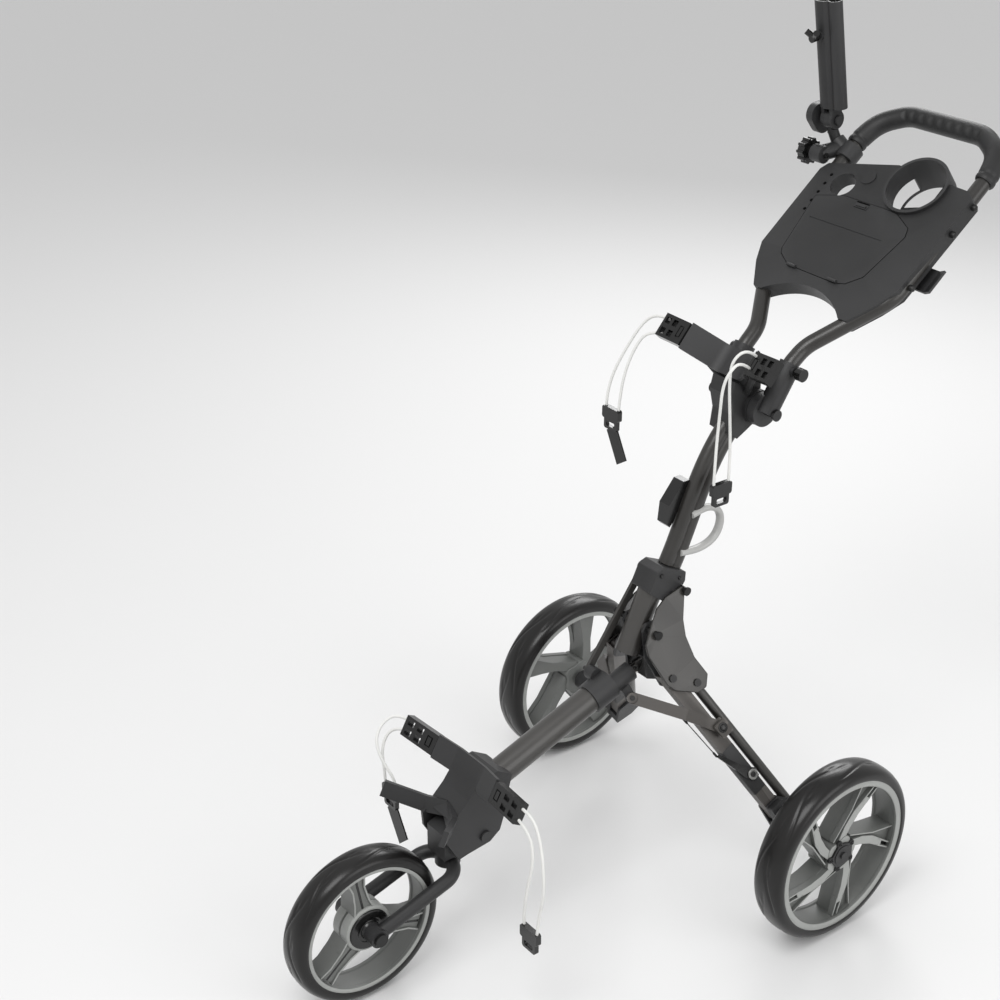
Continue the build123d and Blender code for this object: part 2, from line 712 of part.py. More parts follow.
def hinge_cheeks():
    """Handle's foot: a cheek and a socket for the tube on each side."""
    y, z = BARREL[1:]
    low = hp(49, -78, -25.3)
    high = hp(49, 2)
    body = x_bar(y, z, 31.5, 46, BARREL_R - 1)
    body += rod(low, high, 17)
    body -= x_bar(y, z, 20, 31.4, 60)
    body += x_bar(*KNOB_SEAT, 60, KNOB_FACE, 8)
    body -= swept(handle_points(), HANDLE_R, HANDLE_BEND)
    body -= x_bar(y, z, 20, 80, 6 + RUN)
    body -= x_bar(*KNOB_SEAT, 50, 80, 3 + RUN)
    return Compound(children=both(body))


def hinge_bolt():
    """Headed bolt through the barrel and both cheeks."""
    y, z = BARREL[1:]
    body = x_bar(y, z, -70, 70, 6)
    for side in (-1, 1):
        body += x_bar(y, z, side * 66.5, side * 71, 9)
    return body


def hinge_knob():
    """Round knob on the right sleeve that locks the handle's tube."""
    body = x_bar(*KNOB_SEAT, HANDLE_R + 50, KNOB_FACE + 1, 3)
    body += x_bar(*KNOB_SEAT, KNOB_FACE + 0.3, KNOB_FACE + 6, 6)
    return body + x_bar(*KNOB_SEAT, KNOB_FACE + 6, KNOB_FACE + 17, 10)


CONSOLE_TOP = 15.0


def console_body():
    """Moulded console between the rails, with a tray under the lid."""
    outline = [(-100, 92), (96, 92),
               (124, 134), (141, 168), (146, 352), (132, 362), (60, 366), (-14, 371), (-138, 338),
               (-146, 324), (-146, 168), (-130, 134)]
    body = flat(handle_plane(-12), outline, CONSOLE_TOP + 12, 5)
    body -= handle_plane(0) * Pos(-2, 3) * Cylinder(121, 60)
    cup = (44.0, 343.0)
    body += handle_plane(-12) * Pos(cup[0], cup[1], 16.5) * Cylinder(54, 33)
    tray = flat(handle_plane(-40), [(-90, 168), (-66, 150), (44, 152), (70, 190), (70, 262),
                                    (-84, 276)], 30, 6)
    body += tray
    body -= flat(handle_plane(-37), [(-86, 171), (-64, 154), (41, 156), (66, 191), (66, 259),
                                     (-80, 272)], 60, 5)
    body -= flat(handle_plane(CONSOLE_TOP - 4.5), LID_OUTLINE, 10, 4)
    body -= handle_plane(-12) * Pos(cup[0], cup[1], 20) * Cylinder(49, 80)
    for turn in (20, 90):
        bar = handle_plane(-44) * Pos(cup[0], cup[1], 1.5) * Rot(0, 0, turn) * Box(100, 16, 3)
        body += bar
    post = handle_plane(-44) * Pos(cup[0], cup[1], 18) * (Cylinder(52, 36) - Cylinder(49, 40))
    slots = handle_plane(-44) * Pos(cup[0], cup[1], 18) * Box(140, 60, 30)
    body += post - slots
    body -= handle_plane(-12) * Pos(-84, 309, 20) * Cylinder(22, 80)
    body += handle_plane(CONSOLE_TOP) * Pos(-49, 334, 0.5) * Cylinder(13, 1.4)
    for k in range(5):
        body -= handle_plane(CONSOLE_TOP) * Pos(-117, 319 - 18 * k, 0) * Cylinder(3, 11)
    return body - swept(handle_points(), HANDLE_R, HANDLE_BEND)


LID_OUTLINE = [(-117, 276), (-103, 170), (-97, 160), (-70, 145), (32, 143), (50, 148), (71, 169),
               (88, 255), (82, 271), (46, 289), (16, 291), (-69, 291)]
LID_HINGE = (145.5, CONSOLE_TOP + 2.9)


def console_lid():
    """Flat lid with a groove, hinged along its lower edge."""
    middle = (-15.0, 220.0)
    scaled = []
    for x, s in LID_OUTLINE:
        scaled.append((middle[0] + (x - middle[0]) * 0.988, middle[1] + (s - middle[1]) * 0.986))
    body = flat(handle_plane(CONSOLE_TOP - 4), scaled, 4.4, 4)
    body -= handle_plane(CONSOLE_TOP + 0.4) * Pos(-21, 236) * Box(150, 2, 1.6)
    body -= handle_plane(CONSOLE_TOP - 4) * Pos(-23, 283, 2) * Box(26.4, 12.4, 10)
    for x in (-60, 26):
        s, n = LID_HINGE
        body += rod(hp(x - 9, s, n), hp(x + 9, s, n), 2.6)
    return body


def lid_latch():
    """Thumb tab that slides in the lid's edge."""
    tab = handle_plane(CONSOLE_TOP - 3.5) * Pos(-23, 282, 2.2) * Box(26, 8.4, 4.4)
    tab += handle_plane(CONSOLE_TOP + 0.9) * Pos(-23, 282, 0.9) * Box(20, 4, 1.8)
    return tab


LEVER_PIVOT = hp(120, 203, -22)
LEVER_PIN_R = 3.0


def brake_lever():
    """Thumb paddle under the right rail; a rolled plate on a round boss."""
    pivot = LEVER_PIVOT
    body = rod(pivot + Vector(-9, 0, 0), pivot + Vector(8, 0, 0), 8)
    plane = Plane(origin=hp(118, 222, -27), x_dir=(1, 0, 0), z_dir=H_DIR)
    sector = Polyline((0, -2), (12, 3), (30, 3.5), (43, -4), (42, -8), (29, -0.5), (12, -1), (0, -5),
                      close=True)
    body += extrude(plane * make_face(sector), amount=21, both=True)
    body += rod(pivot, hp(122, 214, -28), 6)
    reach = Vector(30, 0, 0)
    return body - rod(pivot - reach, pivot + reach, LEVER_PIN_R + RUN)


def lever_mount():
    """Bracket under the right rail that carries the brake lever's pin."""
    pivot = LEVER_PIVOT
    body = rod(pivot + Vector(-20, 0, 0), pivot + Vector(-9.3, 0, 0), 9)
    body += rod(pivot + Vector(-20, 0, 0), pivot + Vector(12, 0, 0), LEVER_PIN_R)
    body += rod(pivot + Vector(-14.5, 0, 0), hp(106, 205, -10), 5)
    return body


add("handle_tube", handle_tube())
add("handle_grip", grip())
add("hinge_cheeks", hinge_cheeks())
add("hinge_bolt", hinge_bolt())
add("hinge_knob", hinge_knob())
add("console", console_body() + lever_mount())
add("console_lid", console_lid())
add("lid_latch", lid_latch())
add("brake_lever", brake_lever())

# ---------------------------------------------------------------- umbrella holder
CLAMP_S = 372.0
UMB_PIVOT = Vector(-160, 382, 1113)
UMB_TOP = Vector(-160, 345, 1304)
CLAMP_BOLT = (358.0, 1060.0)


def umbrella_clamp():
    """Split clamp on the left rail with a neck up to the tilt joint."""
    seat = hp(-RAIL_X, CLAMP_S)
    body = rod(seat - H_DIR * 13, seat + H_DIR * 13, 19.5)
    body += rod(seat, Vector(-154, 392, 1078), 13)
    body += rod(Vector(-148, 388, 1066), Vector(-158, CLAMP_BOLT[0], CLAMP_BOLT[1]), 13)
    body += x_bar(*CLAMP_BOLT, -169, -147, 14)
    body += rod(Vector(-154, 392, 1074), Vector(-160, 384, 1098), 9)
    y, z = UMB_PIVOT.Y, UMB_PIVOT.Z
    body += x_bar(y, z, -165, -155, 15)
    body += rod(Vector(-160, 384, 1090), UMB_PIVOT, 7)
    for x0, x1 in ((-175, -165), (-155, -146)):
        body -= x_bar(y, z, x0, x1, 16.5)
    body -= x_bar(y, z, -200, -120, 5 + RUN)
    body -= rod(hp(-RAIL_X, 340), hp(-RAIL_X, 400), HANDLE_R)
    body -= x_bar(*CLAMP_BOLT, -200, -169.05, 21)
    return body - x_bar(*CLAMP_BOLT, -180, -140, 4 + RUN)


def umbrella_tube():
    """Two-bore tube with its forked foot on the tilt joint."""
    axis = (UMB_TOP - UMB_PIVOT).normalized()
    base = UMB_PIVOT + axis * 22
    side = Vector(1, 0, 0)
    small = side * 20
    body = rod(base, UMB_TOP, 17.5) + rod(base + small, UMB_TOP + small, 11.5)
    body -= rod(base + axis * 10, UMB_TOP, 15)
    body -= rod(base + small + axis * 10, UMB_TOP + small, 9.5)
    y, z = UMB_PIVOT.Y, UMB_PIVOT.Z
    for x0, x1 in ((-172, -165.3), (-154.7, -148)):
        cheek = x_bar(y, z, x0, x1, 15)
        lo = Vector((x0 + x1) / 2, y, z)
        cheek += Plane(origin=lo, x_dir=side, z_dir=axis) * Pos(0, 0, 13) * Box(x1 - x0, 22, 26)
        body += cheek
    pad = base + axis * 118
    body += rod(pad, pad + Vector(0, -0.9, -0.17) * 22, 8)
    body -= rod(pad - Vector(0, -0.9, -0.17) * 4, pad + Vector(0, -0.9, -0.17) * 30, 3 + RUN)
    body -= rod(base + axis * 10, UMB_TOP, 15)
    body -= x_bar(y, z, -200, -120, 5 + RUN)
    return body


def tilt_knob():
    """Three-cornered clamp knob on the tilt joint's bolt."""
    y, z = UMB_PIVOT.Y, UMB_PIVOT.Z
    body = x_bar(y, z, -179, -146, 5)
    body += x_bar(y, z, -146, -142, 8)
    knob = Plane(origin=(-178.5, y, z), x_dir=(0, 1, 0), z_dir=(-1, 0, 0))
    tri = [(46 * math.cos(a), 46 * math.sin(a)) for a in (1.4, 1.4 + 2.094, 1.4 + 4.189)]
    body += flat(knob, tri, 13, 18)
    return body


def clamp_knob():
    """Ribbed wing knob that closes the rail clamp."""
    y, z = CLAMP_BOLT
    body = x_bar(y, z, -170, -142, 4)
    body += x_bar(y, z, -176, -169.3, 10)
    body += x_bar(y, z, -190, -176, 18.5)
    for k in range(10):
        angle = 2 * math.pi * k / 10
        body += x_bar(y + 18.5 * math.cos(angle), z + 18.5 * math.sin(angle), -190, -176, 3)
    return body


def wing_screw():
    """Screw that clamps the umbrella's shaft, with two wings."""
    axis = (UMB_TOP - UMB_PIVOT).normalized()
    pad = UMB_PIVOT + axis * 140
    out = Vector(0, -0.9, -0.17).normalized()
    a = pad + out * 16
    body = rod(a, pad + out * 34, 3)
    body += rod(pad + out * 23, pad + out * 36, 6)
    for sign in (-1, 1):
        body += rod(pad + out * 29, pad + out * 37 + Vector(sign * 11, 0, 11), 5)
    return body


add("umbrella_clamp", umbrella_clamp())
add("umbrella_tube", umbrella_tube())
add("tilt_knob", tilt_knob())
add("clamp_knob", clamp_knob())
add("wing_screw", wing_screw())

# ---------------------------------------------------------------- elastic cords
def cord_tube(points):
    """Cord along straight runs, joined by arcs as round as the runs allow."""
    points = [Vector(*p) for p in points]
    edges = []
    start = points[0]
    tightest = 1e9
    length = 0.0
    for before, corner, after in zip(points, points[1:], points[2:]):
        a = before - corner
        b = after - corner
        cut = 0.45 * min(a.length, b.length)
        a = a.normalized()
        b = b.normalized()
        half = math.acos(a.dot(b)) / 2
        radius = cut * math.tan(half)
        tightest = min(tightest, radius)
        inward = (a + b).normalized()
        centre = corner + inward * (cut / math.cos(half))
        edges.append(Line(start, corner + a * cut).edge())
        arc = ThreePointArc(corner + a * cut, centre - inward * radius, corner + b * cut).edge()
        edges.append(arc)
        start = corner + b * cut
    edges.append(Line(start, points[-1]).edge())
    path = Wire(edges)
    print("cord length", round(path.length, 1), "tightest bend", round(tightest, 1))
    plane = Plane(origin=points[0], z_dir=points[1] - points[0])
    return sweep(plane * Circle(CORD_R), path=path)


UPPER_RIGHT_CORD = [(76, 11, 866), (76, -9, 883), (66, -29, 867), (58, -24, 828), (53, -14, 775),
                    (50, -6, 722), (50, -5, 684), (50, -5, 652), (50, -35, 652), (50, -35, 684),
                    (52, -36, 735), (57, -38, 785), (64, -43, 825), (75, -43, 853),
                    (76, -22, 867), (76, -1, 850)]
UPPER_LEFT_CORD = [(-115, 12, 865), (-144, 12, 866), (-168, 4, 846), (-184, -12, 805),
                   (-195, -28, 765), (-197, -38, 730), (-197, -40, 698), (-167, -40, 698),
                   (-167, -38, 730), (-164, -32, 775), (-156, -20, 815), (-143, -8, 842),
                   (-115, -3, 846)]
LOWER_RIGHT_CORD = [(137, -455, 318), (165, -458, 322), (195, -466, 305), (214, -474, 268),
                    (218, -476, 222), (209, -478, 182), (206, -478, 140), (176, -478, 140),
                    (176, -478, 175), (182, -476, 222), (186, -470, 262), (172, -464, 296),
                    (137, -462, 304)]
LOWER_LEFT_CORD = [(-137, -455, 318), (-164, -460, 320), (-177, -480, 306), (-164, -502, 290),
                   (-138, -508, 270), (-111, -502, 246), (-111, -500, 214), (-141, -500, 214),
                   (-145, -499, 246), (-162, -492, 266), (-172, -478, 284), (-160, -466, 300),
                   (-137, -462, 304)]


def connector(centre, across, strap=None):
    """Moulded cord end: a block round the cord's bend with a bar below."""
    across = Vector(*across)
    down = Vector(0, 0, -1)
    centre = Vector(*centre)
    plane = Plane(origin=centre, x_dir=across, z_dir=across.cross(down))
    body = extrude(plane * RectangleRounded(38, 20, 4), amount=4.5, both=True)
    hook = extrude(plane * Pos(0, 17) * RectangleRounded(30, 20, 4), amount=3.5, both=True)
    hook -= extrude(plane * Pos(0, 18) * RectangleRounded(20, 8, 2), amount=8, both=True)
    body += hook
    if strap:
        a = centre + down * 24
        b = Vector(*strap)
        run = Plane(origin=(a + b) / 2, x_dir=across.cross(b - a).normalized(), z_dir=b - a)
        body += run * Box(2.4, 24, (b - a).length)
    return body


CORDS = (
    ("cord_upper_right", "upper_clip_plates", UPPER_RIGHT_CORD, (50, -20, 654), (0, 1, 0), None),
    ("cord_upper_left", "upper_clip_plates", UPPER_LEFT_CORD, (-182, -40, 700), (1, 0, 0),
     (-150, -44, 628)),
    ("cord_lower_right", "lower_clip_plates", LOWER_RIGHT_CORD, (191, -478, 142), (1, 0, 0), None),
    ("cord_lower_left", "lower_clip_plates", LOWER_LEFT_CORD, (-126, -500, 216), (1, 0, 0),
     (-86, -506, 150)),
)
for name, plates, route, centre, across, strap in CORDS:
    cord = cord_tube(route)
    block = connector(centre, across, strap)
    add(name, cord)
    add(name.replace("cord", "hook"), block - cord)
    nodes[plates] = Compound(children=[solid - cord for solid in nodes[plates].solids()])

# ---------------------------------------------------------------- write
os.makedirs("parts", exist_ok=True)
for name, part in nodes.items():
    if not isinstance(part, Compound):
        part = Compound(children=list(part))
    export_step(Pos(0, FRAME_SHIFT, 0) * part, "parts/" + name + ".step")
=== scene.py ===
"""Looks for the three-wheeled golf push trolley, in metres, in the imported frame."""

import json
import math

import bmesh
import bpy
from mathutils import Matrix, Vector


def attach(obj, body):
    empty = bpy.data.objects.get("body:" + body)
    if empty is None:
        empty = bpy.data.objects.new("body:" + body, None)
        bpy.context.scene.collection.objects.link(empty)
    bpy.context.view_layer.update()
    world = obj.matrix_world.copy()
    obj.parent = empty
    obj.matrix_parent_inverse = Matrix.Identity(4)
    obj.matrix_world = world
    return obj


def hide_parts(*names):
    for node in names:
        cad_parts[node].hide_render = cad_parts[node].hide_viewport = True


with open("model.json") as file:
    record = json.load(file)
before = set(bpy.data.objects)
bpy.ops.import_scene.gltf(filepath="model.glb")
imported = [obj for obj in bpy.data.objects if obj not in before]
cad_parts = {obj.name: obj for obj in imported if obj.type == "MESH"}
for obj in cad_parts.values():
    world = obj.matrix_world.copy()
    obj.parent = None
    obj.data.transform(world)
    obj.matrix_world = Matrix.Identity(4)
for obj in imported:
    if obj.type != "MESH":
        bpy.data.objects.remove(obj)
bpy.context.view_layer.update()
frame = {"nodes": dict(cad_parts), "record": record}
MM = 0.001
SHIFT = 0.13355                     # rear axle's Y in the frame
NODES = frame["nodes"]
SIDES = (("right", 1), ("left", -1))
X_AXIS = Vector((1, 0, 0))


def at(x, y, z):
    """A point given in millimetres from the middle of the rear axle line, on the floor."""
    return Vector((x * MM, y * MM + SHIFT, z * MM))


# ---------------------------------------------------------------- camera
AZIMUTH, ELEVATION, ROLL = (math.radians(v) for v in (48.47, 26.07, 2.31))
CAMERA_PLACE = (1725.1, -1663.4, 1776.5)
LENS, SENSOR = 62.72, 36            # millimetres
SHIFT_X = -0.14                     # slides the picture so that the trolley stands right of centre
CLIP_END = 50                       # metres

back = Vector((math.sin(AZIMUTH) * math.cos(ELEVATION),
               -math.cos(AZIMUTH) * math.cos(ELEVATION), math.sin(ELEVATION)))
right = (-back).cross(Vector((0, 0, 1))).normalized()
up = right.cross(-back)
cam_right = right * math.cos(ROLL) + up * math.sin(ROLL)
cam_up = up * math.cos(ROLL) - right * math.sin(ROLL)
turn = Matrix((cam_right, cam_up, back)).transposed().to_4x4()
camera = bpy.data.objects.new("camera", bpy.data.cameras.new("camera"))
bpy.context.collection.objects.link(camera)
camera.matrix_world = Matrix.Translation(at(*CAMERA_PLACE)) @ turn
camera.data.lens = LENS
camera.data.sensor_width = SENSOR
camera.data.shift_x = SHIFT_X
camera.data.clip_end = CLIP_END
bpy.context.scene.camera = camera
bpy.context.scene.view_settings.view_transform = "Standard"


# ---------------------------------------------------------------- materials
BROAD_SCALE, BROAD_DETAIL = 14, 4   # noise behind the colour and the gloss
FINE_DETAIL = 3                     # noise behind the bump
GRAIN_HEIGHT = 0.0004               # metres
COAT_ROUGH = 0.15
TONE_STOPS = (0.3, 0.7)             # noise values of the darkest and the lightest tone
EDGE_STOPS = (0.53, 0.62)           # pointiness where the wear starts and is full
EDGE_WEAR = 0.5
GLOSS_BELOW, GLOSS_ABOVE = 0.07, 0.08
GLOSS_LEAST = 0.03


def two_stops(nt, source, places, low, high):
    """Colour ramp from low to high between two values of the source; returns its colour."""
    ramp = nt.nodes.new("ShaderNodeValToRGB")
    for stop, place, color in zip(ramp.color_ramp.elements, places, (low, high)):
        stop.position = place
        stop.color = (*color, 1)
    nt.links.new(source, ramp.inputs["Fac"])
    return ramp.outputs["Color"]


def bump_from(nt, height, strength, distance):
    """Bumps the surface by a height output."""
    bump = nt.nodes.new("ShaderNodeBump")
    bump.inputs["Strength"].default_value = strength
    bump.inputs["Distance"].default_value = distance
    nt.links.new(height, bump.inputs["Height"])
    nt.links.new(bump.outputs["Normal"], nt.nodes["Principled BSDF"].inputs["Normal"])


def material(name, color, rough, metallic=0.0, coat=0.0, grain=0.0, grain_size=900.0,
             mottle=0.12, stretch=(1, 1, 1), wear=None, spec=0.5):
    """Principled surface with colour variation, worn edges, uneven gloss and a fine bump."""
    mat = bpy.data.materials.new(name)
    mat.use_nodes = True
    nt = mat.node_tree
    bsdf = nt.nodes["Principled BSDF"]
    bsdf.inputs["Metallic"].default_value = metallic
    bsdf.inputs["Coat Weight"].default_value = coat
    bsdf.inputs["Coat Roughness"].default_value = COAT_ROUGH
    bsdf.inputs["Specular IOR Level"].default_value = spec
    coords = nt.nodes.new("ShaderNodeTexCoord")
    mapping = nt.nodes.new("ShaderNodeMapping")
    mapping.inputs["Scale"].default_value = stretch
    nt.links.new(coords.outputs["Object"], mapping.inputs["Vector"])
    broad = nt.nodes.new("ShaderNodeTexNoise")
    broad.inputs["Scale"].default_value = BROAD_SCALE
    broad.inputs["Detail"].default_value = BROAD_DETAIL
    nt.links.new(mapping.outputs[0], broad.inputs["Vector"])
    tone = two_stops(nt, broad.outputs["Fac"], TONE_STOPS,
                     [c * (1 - mottle) for c in color],
                     [min(1, c * (1 + mottle)) for c in color])
    if wear:
        geometry = nt.nodes.new("ShaderNodeNewGeometry")
        mix = nt.nodes.new("ShaderNodeMixRGB")
        mix.inputs["Color2"].default_value = (*wear, 1)
        nt.links.new(two_stops(nt, geometry.outputs["Pointiness"], EDGE_STOPS,
                               (0, 0, 0), (EDGE_WEAR,) * 3), mix.inputs["Fac"])
        nt.links.new(tone, mix.inputs["Color1"])
        tone = mix.outputs["Color"]
    nt.links.new(tone, bsdf.inputs["Base Color"])
    gloss = nt.nodes.new("ShaderNodeMapRange")
    gloss.inputs["To Min"].default_value = max(GLOSS_LEAST, rough - GLOSS_BELOW)
    gloss.inputs["To Max"].default_value = rough + GLOSS_ABOVE
    nt.links.new(broad.outputs["Fac"], gloss.inputs["Value"])
    nt.links.new(gloss.outputs["Result"], bsdf.inputs["Roughness"])
    if grain:
        fine = nt.nodes.new("ShaderNodeTexNoise")
        fine.inputs["Scale"].default_value = grain_size
        fine.inputs["Detail"].default_value = FINE_DETAIL
        nt.links.new(mapping.outputs[0], fine.inputs["Vector"])
        bump_from(nt, fine.outputs["Fac"], grain, GRAIN_HEIGHT)
    return mat


PAINT = material("gunmetal_paint", (0.024, 0.0225, 0.0205), rough=0.36, metallic=0.15,
                 coat=0.2, grain=0.25, grain_size=2200, wear=(0.075, 0.072, 0.068))
ALLOY = material("dark_alloy", (0.052, 0.047, 0.043), rough=0.42, metallic=0.3,
                 grain=0.2, grain_size=700, stretch=(1, 1, 6), wear=(0.17, 0.16, 0.15))
PLASTIC = material("charcoal_plastic", (0.0175, 0.0175, 0.018), rough=0.46,
                   grain=0.45, grain_size=1900, wear=(0.035, 0.035, 0.036), spec=0.42)
# black plastic; in the spoke slots and the screw sockets it is painted shade
GLOSS = material("gloss_plastic", (0.006, 0.006, 0.006), rough=0.24, coat=0.2,
                 grain=0.12, grain_size=1500, mottle=0.15, spec=0.4)
RIM = material("rim_grey", (0.31, 0.318, 0.305), rough=0.4, coat=0.1,
               grain=0.3, grain_size=1600, mottle=0.06, wear=(0.32, 0.33, 0.32))
# a darker copy of the rim grey: painted shade on the rim's sides, webs and inside
RIM_SHADE = material("rim_painted_shade", (0.15, 0.155, 0.148), rough=0.44,
                    grain=0.35, grain_size=1500, mottle=0.1)
TYRE = material("tyre_rubber", (0.006, 0.0055, 0.0053), rough=0.3, coat=0.1,
                grain=0.2, grain_size=1400, mottle=0.18, spec=0.35)
STEEL = material("bolt_steel", (0.34, 0.34, 0.33), rough=0.32, metallic=1.0,
                 grain=0.15, grain_size=1300)
DARK_STEEL = material("black_bolt", (0.02, 0.02, 0.02), rough=0.33, metallic=0.5,
                      grain=0.2, grain_size=1300, mottle=0.15)
CHROME = material("polished_rod", (0.62, 0.61, 0.59), rough=0.16, metallic=1.0,
                  grain=0.06, grain_size=500, mottle=0.05, stretch=(1, 1, 8))
RUBBER = material("grip_rubber", (0.0095, 0.0095, 0.0098), rough=0.5,
                  grain=0.6, grain_size=1300, mottle=0.18)
CLEAR = material("loop_silicone", (0.4, 0.4, 0.39), rough=0.4, coat=0.2,
                 grain=0.2, grain_size=600, mottle=0.08)
WEAVE_SCALE, WEAVE_STRENGTH, WEAVE_HEIGHT = 780, 0.55, 0.0005


def braided_cord():
    """White elastic cord with a small cell pattern for its braid."""
    mat = material("braided_cord", (0.72, 0.72, 0.7), rough=0.7, mottle=0.06)
    nt = mat.node_tree
    weave = nt.nodes.new("ShaderNodeTexVoronoi")
    weave.inputs["Scale"].default_value = WEAVE_SCALE
    nt.links.new(nt.nodes["Texture Coordinate"].outputs["Object"], weave.inputs["Vector"])
    bump_from(nt, weave.outputs["Distance"], WEAVE_STRENGTH, WEAVE_HEIGHT)
    return mat


CORD = braided_cord()
FINISH = {
    "frame_paint": PAINT, "plastic": PLASTIC, "gloss_black": GLOSS, "rim_grey": RIM,
    "tyre": TYRE, "steel": DARK_STEEL, "polished": CHROME, "grip_rubber": RUBBER,
    "clear_loop": CLEAR, "cord": CORD, "alloy": ALLOY,
}
for row in frame["record"]["subparts"]:
    piece = NODES[row["node"]]
    piece.data.materials.clear()
    piece.data.materials.append(FINISH[row["material_slot"]])


# ---------------------------------------------------------------- softened edges
def add_bevel(piece, width, segments=2, angle=35):
    """Rounds the edges sharper than the angle in degrees; width in millimetres."""
    mod = piece.modifiers.new("edge", "BEVEL")
    mod.width = width * MM
    mod.segments = segments
    mod.limit_method = "ANGLE"
    mod.angle_limit = math.radians(angle)


CAD_EDGE_ANGLE = 40
SOFT_EDGES = {                      # bevel width in millimetres, and the CAD nodes it is for
    0.4: ["lid_latch"],
    0.5: ["side_plate_right", "side_plate_left", "hook_upper_right", "hook_upper_left",
          "hook_lower_right", "hook_lower_left"],
    0.6: ["strut_right", "strut_left", "upper_clip_plates", "lower_clip_plates", "link_bar",
          "brake_lever"],
    0.8: ["console_lid", "wheel_carrier_right", "wheel_carrier_left", "hub_casting",
          "umbrella_clamp", "clamp_knob"],
    1.0: ["mast_collar", "upper_cradle", "lower_cradle", "bag_foot", "nose_block"],
    1.2: ["console", "leg_tube_right", "leg_tube_left", "mast_bumper"],
    1.5: ["tilt_knob"],
}
for width, names in SOFT_EDGES.items():
    for name in names:
        add_bevel(NODES[name], width, angle=CAD_EDGE_ANGLE)


# ---------------------------------------------------------------- mesh helpers
def new_piece(name, bm, mats, body, smooth_deg=35):
    """Makes an object of the mesh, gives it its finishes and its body."""
    mesh = bpy.data.meshes.new(name)
    bmesh.ops.recalc_face_normals(bm, faces=bm.faces)
    bm.to_mesh(mesh)
    bm.free()
    piece = bpy.data.objects.new(name, mesh)
    bpy.context.collection.objects.link(piece)
    for mat in mats:
        mesh.materials.append(mat)
    mesh.shade_smooth()
    mesh.set_sharp_from_angle(angle=math.radians(smooth_deg))
    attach(piece, body)
    return piece


def angles(steps, start=0.0):
    """That many angles in radians, evenly spaced round a full turn."""
    return [start + 2 * math.pi * i / steps for i in range(steps)]


def skin(bm, rings, wrap=False, mat=0):
    """Joins each ring of vertices to the next, and the last to the first if it wraps."""
    faces = []
    for low, high in zip(rings, rings[1:] + rings[:1] if wrap else rings[1:]):
        for i in range(len(low)):
            j = (i + 1) % len(low)
            faces.append(bm.faces.new((low[i], low[j], high[j], high[i])))
            faces[-1].material_index = mat
    return faces


def solid(bm, rings, mat=0):
    """Joins the rings and closes both ends; returns the face at the far end."""
    bm.faces.new(rings[0]).material_index = mat
    end = bm.faces.new(rings[-1])
    end.material_index = mat
    skin(bm, rings, mat=mat)
    return end


def lathe(bm, centre, axis, profile, steps=24, mat=0):
    """Turned solid with flat ends; the profile is (along, radius) in millimetres."""
    axis = axis.normalized()
    side = axis.orthogonal().normalized()
    other = axis.cross(side)
    solid(bm, [[bm.verts.new(centre + axis * (along * MM)
                             + (side * math.cos(a) + other * math.sin(a)) * (radius * MM))
                for a in angles(steps)] for along, radius in profile], mat)


def strip(points, width):
    """Outline of a band of that width along a line of points."""
    left, right = [], []
    for i, (x, y) in enumerate(points):
        x0, y0 = points[max(0, i - 1)]
        x1, y1 = points[min(len(points) - 1, i + 1)]
        run = math.hypot(x1 - x0, y1 - y0)
        nx, ny = -(y1 - y0) / run, (x1 - x0) / run
        left.append((x + nx * width / 2, y + ny * width / 2))
        right.append((x - nx * width / 2, y - ny * width / 2))
    return left + list(reversed(right))


def lobed(base, bump, lobes, power, steps=80, turn=0.0):
    """Outline with rounded lobes, as (out, across) about the middle."""
    points = []
    for a in angles(steps):
        r = base + bump * max(0.0, math.cos(lobes * (a - turn) / 2) ** 2) ** power
        points.append((r * math.cos(a), r * math.sin(a)))
    return points


# ---------------------------------------------------------------- wheels
PAINTED, SHADE_GREY, BLACK_AND_SLOT_SHADE = 0, 1, 2  # material slots of a rim: its own grey; a darker copy of that grey, painted shade on the sides, the webs and the inside of the barrel; and black, which in the spoke slots is painted shade
REAR = {"radius": 128.5, "half": 26.5, "lip": 12.0, "tyre": 146.0, "tyre_half": 27.5}
FRONT = {"radius": 103.3, "half": 24.0, "lip": 8.0, "tyre": 120.4, "tyre_half": 25.0}
REAR_X = 318.4                      # middle of a rear wheel from the trolley's middle
FRONT_PLACE = (0, -636, FRONT["tyre"])
RIM_STEPS = 128
RIM_INSIDE = range(4, 9)            # spans of the ring's profile that face the axle; they take the painted shade
RIM_BEVEL = 0.7


def wheel_out(angle):
    """Direction from the axle at that angle, in the plane of the wheel."""
    return Vector((0, math.cos(angle), math.sin(angle)))


def rear_centre(side):
    return at(REAR_X * side, 0, REAR["tyre"])


def spoked_plate(bm, centre, side, angle, outline, low, high, top=PAINTED):
    """Raises an outline of (out, across) from low to high along the axle; its sides and foot take
    the darker grey of painted shade.
    """
    across = Vector((0, -math.sin(angle), math.cos(angle))) * side
    rings = [[bm.verts.new(centre + Vector((side * along * MM, 0, 0))
                           + wheel_out(angle) * (r * MM) + across * (s * MM))
              for r, s in outline] for along in (low, high)]
    solid(bm, rings, SHADE_GREY).material_index = top


def wheel_ring(bm, centre, side, profile, angle):
    """One ring of vertices: the profile of (along, radius) set at an angle round the axle."""
    return [bm.verts.new(centre + Vector((side * x * MM, 0, 0)) + wheel_out(angle) * (q * MM))
            for x, q in profile]


